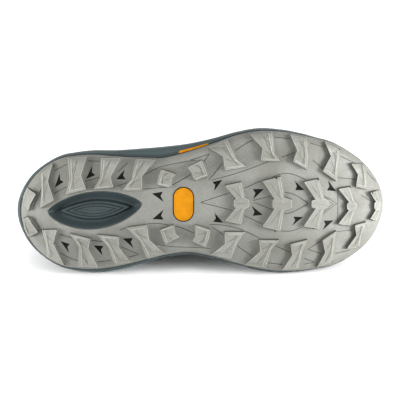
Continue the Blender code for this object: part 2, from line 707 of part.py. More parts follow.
def inlay(parent, paint):
    """The amber inlay, a gap above the floor of its pocket and a little proud of the web."""
    return inlay_prism("amber_inlay", 0.0, LUG_HEIGHT - INLAY_PROUD, LUG_HEIGHT + INLAY_POCKET - GAP, parent, paint)


# Midsole
def midsole(parent, paint, window):
    tau = loop_stations()
    nested = [tray(tau, place, OUTSOLE_WALL + GAP) for place in OUTSOLE_PLACES]
    lip = tray(tau, 2.0, 0.0)[:, 2] + GAP
    neck = with_height(edge_of(tau, np.full(len(tau), -OUTSOLE_WALL - GAP)), lip)
    side = []
    for height in SIDE["height"]:
        xy = edge_of(tau, side_out(tau, height))
        side.append(with_height(xy, lip + (rim_top(tau) - lip) * height))
    inner = edge_of(tau, side_out(tau, 1.0) - RIM_WALL)
    foot = foot_of(tau)
    seat_rings = [
        with_height(foot + (inner - foot) * share, seat((foot + (inner - foot) * share)[:, 0]))
        for share in (1.0, 0.5, 0.0)
    ]
    rim = [with_height(inner, rim_top(tau))]
    foam = ring_solid("midsole", nested + [neck] + side + rim + seat_rings, parent, paint)
    boolean(foam, "window", "DIFFERENCE", window)
    return foam


# Insole
def insole(parent, paint):
    tau = loop_stations()
    foot = foot_of(tau)
    edge = edge_of(tau, side_out(tau, 1.0) - RIM_WALL - 3 * GAP - UPPER_WALL)

    def ring(share, rise):
        xy = foot + (edge - foot) * share
        return with_height(xy, seat(xy[:, 0]) + GAP + rise)

    rings = [ring(0.0, 0.0), ring(0.5, 0.0), ring(1.0, 0.0)]
    rings += [ring(1.0, INSOLE_THICKNESS), ring(0.5, INSOLE_THICKNESS), ring(0.0, INSOLE_THICKNESS)]
    return ring_solid("insole", rings, parent, paint)


# Upper
OUTER_SHARES = (0.0, 0.14, 0.29, 0.44, 0.59, 0.74, 0.88, 1.0)
INNER_SHARES = (1.0, 0.88, 0.74, 0.59, 0.40, 0.18, 0.0)


def upper(parent, paint):
    tau = loop_stations()
    feather = feather_of(tau)
    feather_height = seat(feather[:, 0]) + GAP
    inner_feather = feather - outward_of(tau) * UPPER_WALL
    rings = [with_height(feather, feather_height)]
    rings += [skin(tau, share) for share in OUTER_SHARES]
    crest_wall = wall_of(tau, 1.0)
    crest = lifted_skin(tau, 1.0, -crest_wall / 2)
    crest[:, 2] += crest_wall * 0.3
    rings.append(crest)
    for share in INNER_SHARES[:-1]:
        rings.append(lifted_skin(tau, share, -wall_of(tau, share)))
    rings.append(with_height(inner_feather, skin(tau, 0.0)[:, 2]))
    rings.append(with_height(inner_feather, feather_height))
    return ring_solid("upper", rings, parent, paint, wraps=True)


# Overlays: shells just outside the upper's face
def overlay(name, tau, shares, parent, paint):
    """shares: one row of shares for each line along the overlay."""
    inner = np.array([lifted_skin(tau, row, np.full(len(tau), OVERLAY_GAP)) for row in shares])
    outer = np.array([lifted_skin(tau, row, np.full(len(tau), OVERLAY_GAP + OVERLAY_WALL)) for row in shares])
    return shell_solid(name, outer, inner, parent, paint)


def arched(tau, middle, start, end_share):
    """Height of an overlay that is highest at its middle row and lower at its ends."""
    away = np.clip(np.abs(tau - middle) / start, 0, 1)
    return end_share + (1 - end_share) * np.cos(away * math.pi / 2) ** 1.5


def counter(parent, paint):
    tau = np.arange(-COUNTER_START, COUNTER_START + 0.1, RING_STEP)
    length = wall_length(tau)
    top = arched(tau, 0.0, COUNTER_START, COUNTER_END_SHARE) * COUNTER_HEIGHT
    shares = [(OVERLAY_LIFT + (top - OVERLAY_LIFT) * part) / length for part in OVERLAY_ROWS]
    return overlay("heel_counter", tau, shares, parent, paint)


def toe_cap(parent, paint):
    reach = LAST_ROW - TOE_CAP_START
    tau = np.arange(TOE_CAP_START, LOOP - TOE_CAP_START + 0.1, RING_STEP)
    length = wall_length(tau)
    top = arched(tau, LAST_ROW, reach, TOE_CAP_END_SHARE) * TOE_CAP_HEIGHT
    shares = [(OVERLAY_LIFT + (top - OVERLAY_LIFT) * part) / length for part in OVERLAY_ROWS]
    return overlay("toe_cap", tau, shares, parent, paint)


def eyelet_places():
    """(tau, share) of each eyelet, front pair first: lateral, then medial."""
    places = []
    for row in EYELET_ROWS:
        for tau in (row, LOOP - row):
            places.append((tau, 1 - EYELET_INSET / float(wall_length(tau)[0])))
    return places


def eyelet_cutters(parent):
    """Short six-sided plugs through the eyestay, one for each eyelet, in one helper."""
    points, faces = [], []
    turn = np.linspace(0, 2 * math.pi, EYELET_SIDES + 1)[:-1]
    for tau, share in eyelet_places():
        centre = skin(tau, share)[0]
        normal = Vector(skin_normal(tau, share)[0])
        across = normal.cross(Vector((1, 0, 0))).normalized()
        along = normal.cross(across)
        start = len(points)
        for lift in (-EYELET_CUT_UNDER, EYELET_CUT_OVER):
            for angle in turn:
                spoke = across * math.cos(angle) + along * math.sin(angle)
                points.append(tuple(Vector(centre) + normal * lift + spoke * EYELET_RADIUS))
        faces += [tuple(start + i for i in face) for face in ring_faces(2, len(turn), False)]
        faces.append(tuple(start + i for i in range(len(turn)))[::-1])
        faces.append(tuple(start + len(turn) + i for i in range(len(turn))))
    return helper(object_from("eyelet_cutters", points, faces, parent))


def eyestay(parent, paint):
    tau = np.arange(EYESTAY_START, LOOP - EYESTAY_START + 0.1, RING_STEP)
    length = wall_length(tau)
    shares = [1 - distance / length for distance in EYESTAY_BAND]
    stay = overlay("eyestay", tau, shares, parent, paint)
    boolean(stay, "eyelets", "DIFFERENCE", eyelet_cutters(parent))
    return stay


# Tongue
def throat_line(row, side, distance, clearance):
    """A point under the upper near the throat, on the lateral (-1) or medial (1) side."""
    tau = row if side < 0 else LOOP - row
    share = 1 - distance / float(wall_length(tau)[0])
    wall = float(wall_of(np.array(tau), share))
    return lifted_skin(tau, share, -(wall + clearance))[0]


def tongue_row(row):
    lateral = [throat_line(row, -1, d, TONGUE_CLEARANCE) for d in TONGUE_WING]
    medial = [throat_line(row, 1, d, TONGUE_CLEARANCE) for d in TONGUE_WING[::-1]]
    start, end = lateral[-1], medial[0]
    crown = np.linalg.norm(end - start) * TONGUE_CROWN
    arch = []
    for part in (0.2, 0.5, 0.8):
        point = start + (end - start) * part
        point = point + np.array((0, 0, crown * 4 * part * (1 - part)))
        arch.append(point)
    return np.array(lateral + arch + medial)


def tongue_face():
    """The tongue's outer face: a grid of its rows by nine points across."""
    rows = [tongue_row(row) for row in TONGUE_ROWS]
    base = rows[-1]
    crown = base[len(base) // 2]
    for back, up, wide, flat in TONGUE_TOP:
        rows.append(crown + (base - crown) * (flat, wide, flat) + (back, 0, up))
    return np.array(rows)


def grid_normals(grid):
    down = np.gradient(grid, axis=0)
    across = np.gradient(grid, axis=1)
    normal = np.cross(down, across)
    normal = normal / np.linalg.norm(normal, axis=-1, keepdims=True)
    return normal * np.sign(normal[..., 2].sum())


def tongue(parent, paint):
    outer = tongue_face()
    depth = TONGUE_THICKNESS * np.array(TONGUE_SECTION)
    inner = outer - grid_normals(outer) * depth[None, :, None]
    return shell_solid("tongue", outer, inner, parent, paint)


# Laces
def stay_point(row, side, distance, lift):
    """A point above the upper's face near the throat, on the lateral (-1) or medial (1) side."""
    tau = row if side < 0 else LOOP - row
    share = 1 - distance / float(wall_length(tau)[0])
    return lifted_skin(tau, share, lift)[0]


def lace_path(start_row, start_side, end_row):
    """A strand from an eyelet, over the throat's edge and the tongue's crown, to the other side's eyelet."""
    lift = OVERLAY_GAP + OVERLAY_WALL + GAP + LACE_RADIUS
    near = start_row + (end_row - start_row) * LACE_EDGE_PART
    far = end_row + (start_row - end_row) * LACE_EDGE_PART
    crown = tongue_row((start_row + end_row) / 2)[len(TONGUE_SECTION) // 2]
    knots = [
        stay_point(start_row, start_side, EYELET_INSET, lift),
        stay_point(near, start_side, LACE_EDGE_INSET, lift + LACE_EDGE_LIFT),
        crown + (0, 0, LACE_RADIUS + GAP + LACE_CROWN_LIFT),
        stay_point(far, -start_side, LACE_EDGE_INSET, lift + LACE_EDGE_LIFT),
        stay_point(end_row, -start_side, EYELET_INSET, lift),
    ]
    knots[2][2] = max(knots[2][2], (knots[1][2] + knots[3][2]) / 2 + LACE_CROWN_LIFT)
    return np.array(knots)


def tube(path):
    """Points and faces of a round cord along a path, with its ends closed."""
    count = len(path)
    fine = np.linspace(0, count - 1, (count - 1) * LACE_STEPS + 1)
    knots = np.arange(count, dtype=float)
    slopes = np.gradient(path, axis=0)
    line = np.stack([hermite(knots, path[:, k], slopes[:, k], fine) for k in range(3)], axis=1)
    along = np.gradient(line, axis=0)
    points = []
    for place, direction in zip(line, along):
        direction = Vector(direction).normalized()
        side = direction.cross(Vector((0, 0, 1))).normalized()
        lift = side.cross(direction)
        for k in range(LACE_SIDES):
            angle = 2 * math.pi * k / LACE_SIDES
            spoke = side * math.cos(angle) + lift * math.sin(angle)
            points.append(tuple(Vector(place) + spoke * LACE_RADIUS))
    faces = ring_faces(len(line), LACE_SIDES, False)
    faces.append(tuple(range(LACE_SIDES))[::-1])
    faces.append(tuple(range(len(points) - LACE_SIDES, len(points))))
    return points, faces


def strand(first_side):
    """One lace end's whole way up the throat, crossing from side to side."""
    knots = []
    side = first_side
    for low, high in zip(EYELET_ROWS, EYELET_ROWS[1:]):
        path = lace_path(low, side, high)
        knots += list(path if not knots else path[1:])
        side = -side
    return np.array(knots)


def laces(parent, paint):
    lace = object_from("laces", *tube(strand(-1)), parent, paint)
    other = helper(object_from("lace_other_strand", *tube(strand(1)), parent))
    front = helper(object_from("lace_front_bar", *tube(lace_path(EYELET_ROWS[0], -1, EYELET_ROWS[0])), parent))
    boolean(lace, "other_strand", "UNION", other)
    boolean(lace, "front_bar", "UNION", front)
    return lace


# Laying the shoe on its side
def mesh_points(obj):
    return np.array([tuple(vertex.co) for vertex in obj.data.vertices])


def side_rest(sole_points, upper_points):
    """The turn that rests the shoe on its medial side: heel edge, forefoot edge and upper touch one plane."""
    turn = Matrix.Rotation(math.radians(-90), 3, "X")
    for _ in range(20):
        sole = sole_points @ np.array(turn).T
        side = upper_points @ np.array(turn).T
        half = sole_points[:, 0] < SOLE_LENGTH * MM / 2
        heel = sole[half][np.argmin(sole[half][:, 2])]
        toe = sole[~half][np.argmin(sole[~half][:, 2])]
        high = side[np.argmin(side[:, 2])]
        normal = Vector(np.cross(toe - heel, high - heel)).normalized()
        if normal.z < 0:
            normal.negate()
        turn = normal.rotation_difference(Vector((0, 0, 1))).to_matrix() @ turn
    return turn


def lay_down(parent, sole_pieces, upper_pieces, every_piece):
    """Turns the whole shoe onto its side, its box centred over the origin and its lowest point on the ground."""
    sole_points = np.concatenate([mesh_points(obj) for obj in sole_pieces])
    upper_points = np.concatenate([mesh_points(obj) for obj in upper_pieces])
    turn = side_rest(sole_points, upper_points)
    laid = np.concatenate([mesh_points(obj) for obj in every_piece]) @ np.array(turn).T
    low, high = laid.min(axis=0), laid.max(axis=0)
    shift = Vector((-(low[0] + high[0]) / 2, -(low[1] + high[1]) / 2, -low[2]))
    parent.matrix_world = Matrix.Translation(shift) @ turn.to_4x4()
    bpy.context.view_layer.update()


def main():
    for obj in list(bpy.data.objects):
        bpy.data.objects.remove(obj, do_unlink=True)
    shoe = bpy.data.objects.new("shoe", None)
    bpy.context.scene.collection.objects.link(shoe)

    rubber = material("tread_rubber", (0.42, 0.42, 0.39), 0.65)
    foam = material("midsole_foam", (0.060, 0.095, 0.110), 0.60)
    mesh = material("upper_mesh", (0.050, 0.085, 0.100), 0.85)
    film = material("overlay_film", (0.035, 0.060, 0.072), 0.45)
    sock = material("insole_cloth", (0.030, 0.036, 0.040), 0.90)
    amber = material("amber_rubber", (0.94, 0.38, 0.01), 0.45)
    cord = material("lace_cord", (0.045, 0.060, 0.066), 0.80)

    window = window_cutter(shoe)
    tread = outsole(shoe, rubber, window)
    foam_body = midsole(shoe, foam, window)
    shell = upper(shoe, mesh)
    pieces = [
        tread,
        foam_body,
        shell,
        insole(shoe, sock),
        inlay(shoe, amber),
        counter(shoe, film),
        toe_cap(shoe, film),
        eyestay(shoe, film),
        tongue(shoe, mesh),
        laces(shoe, cord),
    ]
    outline = [tread, bpy.data.objects["lug_union"], foam_body]
    lay_down(shoe, outline, [shell], pieces)


main()
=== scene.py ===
import json
import math

import bmesh
import bpy
import numpy as np
from mathutils import Matrix, Vector
from mathutils.geometry import tessellate_polygon


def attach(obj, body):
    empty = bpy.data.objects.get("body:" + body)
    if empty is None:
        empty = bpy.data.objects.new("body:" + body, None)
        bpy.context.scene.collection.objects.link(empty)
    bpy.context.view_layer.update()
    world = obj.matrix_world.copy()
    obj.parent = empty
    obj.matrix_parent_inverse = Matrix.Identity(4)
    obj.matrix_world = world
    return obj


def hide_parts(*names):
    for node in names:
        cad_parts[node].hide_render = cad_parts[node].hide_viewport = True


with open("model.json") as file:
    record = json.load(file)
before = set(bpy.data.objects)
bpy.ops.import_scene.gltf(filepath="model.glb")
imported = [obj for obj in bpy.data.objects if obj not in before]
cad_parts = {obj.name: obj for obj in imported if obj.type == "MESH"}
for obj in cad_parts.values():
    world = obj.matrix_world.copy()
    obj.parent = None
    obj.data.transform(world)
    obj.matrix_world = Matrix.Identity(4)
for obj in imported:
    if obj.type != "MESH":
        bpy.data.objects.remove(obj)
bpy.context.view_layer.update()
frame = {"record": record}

# A trail running shoe for the right foot, lying on its medial side, seen from below.
# Everything is worked out in millimetres on the standing shoe: x from the heel to the toe, y towards the
# medial side and z up from the ground. Each piece then gets the turn that lays the shoe down.
MM = 0.001

# Driving sizes
SOLE_LENGTH = 298.0
BALL_WIDTH = 116.0
COLLAR_HEIGHT = 100.0
HEEL_STACK = 31.0
TOE_SPRING = 24.0
LUG_HEIGHT = 4.5
OUTSOLE_WALL = 2.2
EDGE_ROLL = 6.0
LIP_HEIGHT = 5.0
OVERHANG = 6.0
RIM_INSET = 6.0
RIM_WALL = 3.0
RIM_HEIGHT = 8.0
UPPER_WALL = 2.0
COLLAR_PAD = 4.5
OVERLAY_WALL = 1.1
OVERLAY_GAP = 0.4
INSOLE_THICKNESS = 4.5
TONGUE_THICKNESS = 6.0
LACE_RADIUS = 1.7
EYELET_RADIUS = 2.3
GAP = 0.3

# The sole's drafting grid: its length is 366 steps and the ball is 142.5 wide.
STEP_X = SOLE_LENGTH / 366.0
STEP_Y = BALL_WIDTH / 142.5
STEPS = np.array((STEP_X, STEP_Y))


def columns(names, rows):
    """The columns of a table by their names."""
    return {name: np.array([row[i] for row in rows]) for i, name in enumerate(names)}



# The spine runs from the centre of the heel's round end to the centre of the toe's, in grid steps.
HEEL_CENTRE = np.array((55.3, 9.5))
TOE_CENTRE = np.array((301.0, 1.0))

# Outline of the tread, a row for each station from the heel tip to the toe tip.
# share: way along the spine. fan: direction of the reach, in degrees forward of straight across.
# lateral, medial: reach from the spine to the edge, in grid steps. lip: height of the rolled-up edge.
# over_lat, over_med: how far the foam bulges past the edge. inset: how far its rim leans back in.
EDGE_COLUMNS = ("share", "fan", "lateral", "medial", "lip", "over_lat", "over_med", "inset", "rim")
EDGE_ROWS = (
    (0.00, -90, 52.0, 52.0, 1.40, 0.63, 0.63, 0.80, 1.25),
    (0.00, -60, 51.0, 52.1, 1.35, 0.48, 0.46, 0.82, 1.20),
    (0.00, -30, 51.8, 53.4, 1.20, 0.30, 0.30, 0.85, 1.15),
    (0.00, 0, 55.0, 56.8, 1.00, 0.36, 0.40, 0.95, 1.10),
    (0.08, 0, 55.9, 58.8, 1.00, 0.48, 0.52, 1.05, 1.05),
    (0.18, 0, 53.3, 56.8, 1.00, 0.75, 0.64, 0.95, 1.05),
    (0.28, 0, 51.2, 51.8, 1.00, 1.15, 0.55, 0.55, 1.10),
    (0.37, 0, 50.5, 47.0, 1.00, 1.40, 0.45, 0.30, 1.20),
    (0.47, 0, 55.7, 44.8, 1.00, 1.00, 0.41, 0.30, 1.20),
    (0.57, 0, 63.1, 49.9, 1.00, 0.62, 0.38, 0.45, 1.05),
    (0.67, 0, 70.8, 57.7, 1.00, 0.38, 0.28, 0.70, 0.95),
    (0.76, 0, 74.0, 63.8, 1.00, 0.32, 0.32, 0.85, 0.90),
    (0.86, 0, 72.0, 67.1, 1.00, 0.23, 0.25, 0.90, 0.90),
    (0.94, 0, 67.5, 67.0, 1.10, 0.20, 0.20, 0.90, 0.90),
    (1.00, 0, 63.2, 65.7, 1.25, 0.12, 0.18, 0.90, 0.90),
    (1.00, 30, 58.9, 64.4, 1.55, 0.05, 0.10, 0.90, 0.90),
    (1.00, 60, 61.6, 66.9, 1.90, 0.04, 0.06, 0.95, 0.90),
    (1.00, 90, 67.5, 67.5, 2.10, 0.04, 0.04, 1.00, 0.90),
)
EDGE = columns(EDGE_COLUMNS, EDGE_ROWS)
LAST_ROW = len(EDGE_ROWS) - 1
LOOP = 2 * LAST_ROW

# Heights along the sole. along: share of the length. ground: rise of the tread, as a share of the toe
# spring. seat: height of the foam's top above the ground, as a share of the heel stack.
LEVEL_COLUMNS = ("along", "ground", "seat")
LEVEL_ROWS = (
    (0.00, 0.36, 1.14),
    (0.06, 0.15, 1.07),
    (0.12, 0.03, 1.02),
    (0.17, 0.00, 1.00),
    (0.30, 0.00, 0.97),
    (0.42, 0.00, 0.91),
    (0.55, 0.00, 0.84),
    (0.70, 0.00, 0.79),
    (0.78, 0.10, 0.81),
    (0.86, 0.33, 0.90),
    (0.94, 0.69, 1.08),
    (1.00, 1.02, 1.28),
)
LEVEL = columns(LEVEL_COLUMNS, LEVEL_ROWS)

# Side of the foam from its lower edge to its rim: a swell, one groove halfway up, and a wall that leans in.
SIDE_COLUMNS = ("height", "swell")
SIDE_ROWS = (
    (0.00, 0.35),
    (0.12, 0.88),
    (0.30, 1.00),
    (0.44, 0.92),
    (0.50, 0.58),
    (0.57, 0.76),
    (0.80, 0.50),
    (1.00, 0.20),
)
SIDE = columns(SIDE_COLUMNS, SIDE_ROWS)
LEAN_START = 0.3

# The upper, a row for each station of the outline. x, y, z: its top line, as shares of the sole's length,
# the ball width and the collar height, with y counted from the spine. rise, flare: the handle at the rim, as
# shares of the wall's height and of the ball width. shoulder, puff, drop: the handle at the top line, as
# shares of the way out to the rim, of the ball width and of the wall's height. pad: share of the collar's
# padding.
UPPER_COLUMNS = ("x", "y", "z", "rise", "flare", "shoulder", "puff", "drop", "pad")
UPPER_ROWS = (
    (0.046, 0.000, 1.000, 0.38, 0.040, 0.00, 0.050, 0.35, 1.00),
    (0.056, 0.115, 0.990, 0.38, 0.037, 0.00, 0.050, 0.35, 1.00),
    (0.088, 0.208, 0.950, 0.38, 0.030, 0.00, 0.045, 0.35, 1.00),
    (0.138, 0.268, 0.880, 0.38, 0.024, 0.00, 0.038, 0.36, 1.00),
    (0.193, 0.296, 0.825, 0.38, 0.022, 0.05, 0.030, 0.36, 1.00),
    (0.253, 0.304, 0.805, 0.38, 0.024, 0.10, 0.020, 0.36, 1.00),
    (0.310, 0.284, 0.840, 0.38, 0.025, 0.20, 0.010, 0.34, 0.95),
    (0.358, 0.240, 0.930, 0.38, 0.025, 0.30, 0.000, 0.32, 0.65),
    (0.402, 0.205, 1.020, 0.38, 0.025, 0.38, 0.000, 0.30, 0.35),
    (0.462, 0.185, 0.985, 0.40, 0.025, 0.43, 0.000, 0.26, 0.25),
    (0.522, 0.170, 0.915, 0.43, 0.025, 0.46, 0.000, 0.22, 0.15),
    (0.575, 0.158, 0.850, 0.47, 0.025, 0.48, 0.000, 0.18, 0.10),
    (0.618, 0.142, 0.797, 0.50, 0.024, 0.50, 0.000, 0.16, 0.05),
    (0.645, 0.122, 0.764, 0.54, 0.022, 0.50, 0.000, 0.15, 0.00),
    (0.664, 0.098, 0.742, 0.58, 0.020, 0.50, 0.000, 0.15, 0.00),
    (0.677, 0.066, 0.727, 0.60, 0.018, 0.50, 0.000, 0.15, 0.00),
    (0.685, 0.034, 0.718, 0.60, 0.016, 0.50, 0.000, 0.15, 0.00),
    (0.688, 0.000, 0.715, 0.60, 0.016, 0.50, 0.000, 0.15, 0.00),
)
UPPER = columns(UPPER_COLUMNS, UPPER_ROWS)
PAD_START = 0.35
PAD_FULL = 0.62

# Edge lugs, each a bow tie with three cross lines: its outer end, its neck and its inner end.
# Each cross line has a corner on the heel's side and one on the toe's, in grid steps from the heel tip and
# the axis.
EDGE_LUGS = {
    "heel_back_lateral": ((8, -15), (20, -8), (5, -4), (14, 3), (6, 7), (12, 9)),
    "heel_back_medial": ((11, 36), (22, 30), (7, 27), (16, 22), (7, 17), (12, 15)),
    "heel_lateral_1": ((25, -28), (37, -38), (26, -12), (32, -21), (24, 6), (38, -2)),
    "heel_lateral_2": ((52, -44), (71, -46), (54, -22), (65, -27), (50, -8), (70, -13)),
    "heel_lateral_3": ((85, -44), (104, -44), (84, -24), (94, -25), (77, -13), (97, -15)),
    "heel_lateral_4": ((119, -44), (138, -43), (115, -23), (125, -26), (105, -12), (125, -12)),
    "heel_medial_1": ((31, 55), (48, 63), (30, 41), (37, 41), (26, 28), (41, 27)),
    "heel_medial_2": ((62, 64), (82, 65), (63, 44), (72, 46), (54, 31), (74, 36)),
    "heel_medial_3": ((98, 62), (114, 60), (92, 44), (102, 44), (81, 32), (102, 34)),
    "heel_medial_4": ((130, 56), (148, 51), (124, 39), (132, 37), (110, 25), (130, 22)),
    "waist_lateral_1": ((144, -33), (159, -28), (142, -26), (155, -25), (140, -18), (153, -15)),
    "waist_lateral_2": ((170, -35), (184, -42), (174, -30), (187, -35), (177, -22), (190, -27)),
    "waist_medial_1": ((148, 41), (162, 34), (145, 33), (158, 30), (143, 27), (156, 22)),
    "waist_medial_2": ((175, 38), (188, 44), (178, 33), (191, 36), (178, 22), (193, 27)),
    "fore_lateral_1": ((190, -55), (209, -63), (205, -46), (218, -43), (207, -32), (229, -36)),
    "fore_lateral_2": ((231, -71), (253, -72), (244, -54), (255, -50), (242, -42), (262, -41)),
    "fore_lateral_3": ((271, -70), (287, -64), (278, -52), (289, -46), (274, -41), (288, -33)),
    "fore_lateral_4": ((306, -60), (321, -52), (312, -46), (319, -38), (304, -31), (318, -21)),
    "fore_lateral_5": ((333, -38), (346, -37), (340, -27), (348, -26), (338, -15), (349, -12)),
    "fore_medial_1": ((193, 52), (213, 56), (207, 41), (219, 40), (207, 29), (227, 29)),
    "fore_medial_2": ((227, 62), (247, 65), (242, 48), (253, 46), (241, 37), (261, 37)),
    "fore_medial_3": ((264, 67), (280, 66), (274, 52), (284, 48), (272, 41), (289, 37)),
    "fore_medial_4": ((299, 65), (314, 60), (307, 50), (316, 44), (304, 38), (318, 29)),
    "fore_medial_5": ((329, 47), (342, 46), (339, 34), (344, 33), (337, 24), (349, 21)),
}

# Centre lugs, each two wings and a knuckle, mirrored about its axis. wing, neck, knuckle: corners along the
# shoe, on the heel's and on the toe's side. reach: of the wings' two corners from the axis. half: of the
# knuckle's width.
CENTRE_COLUMNS = (
    "axis", "wing_heel", "wing_toe", "neck_heel", "neck_toe",
    "knuckle_heel", "knuckle_toe", "reach_heel", "reach_toe", "half",
)
CENTRE_LUGS = {
    "centre_1": (0.5, 207, 223, 218, 226, 216, 231, 17.5, 21.0, 3.5),
    "centre_2": (1.0, 244, 262, 256, 265, 254, 273, 22.5, 27.0, 4.0),
    "centre_3": (1.5, 285, 300, 297, 305, 293, 310, 22.0, 25.0, 3.5),
    "centre_4": (4.5, 320, 332, 331, 336, 329, 339, 17.5, 19.5, 3.0),
    "centre_5": (5.0, 353, 360, 359, 363, 357.5, 364, 13.5, 15.0, 3.0),
}
LUG_EDGE_FADE = 0.45
LUG_REACH_MOST = 0.975

# The eye-shaped window in the heel, in grid steps
WINDOW_TIPS = np.array(((31.0, 10.0), (125.0, 2.0)))
WINDOW_BULGES = (16.6, 21.1)
WINDOW_SIDE = 36
WINDOW_ROUNDING = 0.63

# The plain amber inlay in the waist, a pill shape in grid steps
INLAY_CENTRE = np.array((166.0, 2.0))
INLAY_HALF_WIDTH = 9.5
INLAY_HALF_LENGTH = 16.5
INLAY_POCKET = 1.2
INLAY_PROUD = 0.6
INLAY_CORNER = 8

# Overlays on the upper. Rows of the outline where each starts and ends, and heights along the wall.
EYESTAY_START = 8.5
# The eyestay's upper and lower edge, as distances from the top line
EYESTAY_BAND = (1.4, 14.6)
TOE_CAP_START = 13.5
TOE_CAP_HEIGHT = 22.0
TOE_CAP_END_SHARE = 0.35
COUNTER_START = 4.0
COUNTER_HEIGHT = 38.0
COUNTER_END_SHARE = 0.30
OVERLAY_LIFT = 0.9

# Lacing: the outline's rows where the eyelets sit, front pair first, and their distance from the top line
EYELET_ROWS = (14.3, 12.7, 11.5, 10.5, 9.6, 8.75)
EYELET_INSET = 8.0
# Where a strand crosses the throat's edge: part of the way between its two rows, distance from the top line,
# and how much higher it lies there and over the tongue's crown
LACE_EDGE_PART = 0.14
LACE_EDGE_INSET = 1.0
LACE_EDGE_LIFT = 0.6
LACE_CROWN_LIFT = 0.9

# Tongue: rows of the outline that it passes, then its free top above the throat
TONGUE_ROWS = (16.2, 15.2, 14.2, 13.1, 12.0, 11.0, 10.0, 9.1, 8.3)
TONGUE_WING = (13.0, 6.0, 0.0)
TONGUE_CROWN = 0.12
TONGUE_CLEARANCE = 0.8
TONGUE_SECTION = (0.25, 0.5, 0.8, 1.0, 1.0, 1.0, 0.8, 0.5, 0.25)
TONGUE_ARCH = (0.2, 0.5, 0.8)
# back, up: shift of each free row from the top throat row, in millimetres. wide: share of that row's width.
# flat: share of that row's height from its wings to its crown.
TONGUE_TOP = (
    (-5.0, 7.0, 0.78, 0.85), (-11.0, 14.0, 0.86, 0.62), (-18.0, 21.0, 0.94, 0.48), (-23.0, 25.0, 0.80, 0.38),
)


# Curves through the tables
def hermite(knots, values, slopes, at):
    """A smooth curve through numbers or points at their knots."""
    at = np.asarray(at, float)
    i = np.clip(np.searchsorted(knots, at, side="right") - 1, 0, len(knots) - 2)
    shape = at.shape + (1,) * (np.ndim(values) - 1)
    width = np.reshape(knots[i + 1] - knots[i], shape)
    u = np.reshape(at - knots[i], shape) / width
    return (
        values[i] * (2 * u**3 - 3 * u**2 + 1)
        + values[i + 1] * (3 * u**2 - 2 * u**3)
        + slopes[i] * width * (u**3 - 2 * u**2 + u)
        + slopes[i + 1] * width * (u**3 - u**2)
    )


def calm(knots, values, at):
    """A smooth curve through the values with no overshoot."""
    steps = np.diff(values) / np.diff(knots)
    slopes = np.concatenate((steps[:1], np.zeros(len(steps) - 1), steps[-1:]))
    product = steps[:-1] * steps[1:]
    same = product > 0
    slopes[1:-1][same] = 2 * product[same] / (steps[:-1] + steps[1:])[same]
    return hermite(knots, values, slopes, at)


def level(column, x):
    """A column of the heights table at x."""
    return calm(LEVEL["along"] * SOLE_LENGTH, LEVEL[column], np.clip(x, 0, SOLE_LENGTH))


def around(lateral, medial, tau):
    """A smooth closed curve through the lateral column from heel to toe and back through the medial one."""
    once = np.concatenate((lateral, medial[-2:0:-1]))
    values = np.concatenate((once[-3:], once, once[:4]))
    knots = np.arange(-3, LOOP + 4, dtype=float)
    return hermite(knots, values, np.gradient(values), np.mod(tau, LOOP))


def both(table, column, tau):
    return around(table[column], table[column], tau)


def row_of(tau):
    return LAST_ROW - np.abs(LAST_ROW - np.mod(tau, LOOP))


def side_of(tau):
    """-1 on the lateral side and 1 on the medial side."""
    return np.where(np.mod(tau, LOOP) < LAST_ROW, -1.0, 1.0)


# The sole's surfaces
def foot_of(tau):
    share = np.interp(row_of(tau), np.arange(LAST_ROW + 1), EDGE["share"])
    grid = HEEL_CENTRE + share[..., None] * (TOE_CENTRE - HEEL_CENTRE)
    return grid * STEPS


def reach_of(tau):
    """Vector from the spine to the tread's edge, in millimetres."""
    angle = np.radians(np.interp(row_of(tau), np.arange(LAST_ROW + 1), EDGE["fan"]))
    steps = around(EDGE["lateral"], EDGE["medial"], tau)
    return np.stack((np.sin(angle) * steps * STEP_X, side_of(tau) * np.cos(angle) * steps * STEP_Y), axis=-1)


def outward_of(tau):
    reach = reach_of(tau)
    return reach / np.linalg.norm(reach, axis=-1, keepdims=True)


def edge_of(tau, out):
    """The tread's edge, moved outward by some millimetres."""
    return foot_of(tau) + reach_of(tau) + outward_of(tau) * np.asarray(out)[..., None]


def ground(x):
    return level("ground", x) * TOE_SPRING


def seat(x):
    return level("seat", x) * HEEL_STACK


def lip_of(tau):
    return both(EDGE, "lip", tau) * LIP_HEIGHT


def tray(tau, place, offset):
    """The tread's web between the lugs, moved into the sole by an offset.

    place runs from 0 at the spine to 1 where the edge starts to roll up, and to 2 at the edge itself.
    """
    tau = np.asarray(tau, float)
    place = np.broadcast_to(np.asarray(place, float), tau.shape)
    roll = np.clip(place - 1, 0, 1)
    flat = np.clip(place, 0, 1)
    length = np.linalg.norm(reach_of(tau), axis=-1)
    level_part = np.sqrt(np.maximum(1 - roll**2, 0))
    slope = np.arctan2(lip_of(tau) * roll, EDGE_ROLL * level_part)
    slope = np.where(roll > 0, slope, 0.0)
    out = (length - EDGE_ROLL) * flat + EDGE_ROLL * roll - offset * np.sin(slope)
    xy = foot_of(tau) + outward_of(tau) * out[..., None]
    z = ground(xy[..., 0]) + LUG_HEIGHT + lip_of(tau) * (1 - level_part) + offset * np.cos(slope)
    return np.concatenate((xy, z[..., None]), axis=-1)


# First and last row of the outline that look straight across the spine
STRAIGHT_ROWS = np.flatnonzero(EDGE["fan"] == 0)[[0, -1]]


def spine_share(step):
    """Share of the way along the spine at a grid step from the heel."""
    return (step - HEEL_CENTRE[0]) / (TOE_CENTRE[0] - HEEL_CENTRE[0])


def straight_row(share):
    """The outline's row at a share of the way along the spine."""
    first, last = STRAIGHT_ROWS
    return np.interp(share, EDGE["share"][first : last + 1], np.arange(first, last + 1))


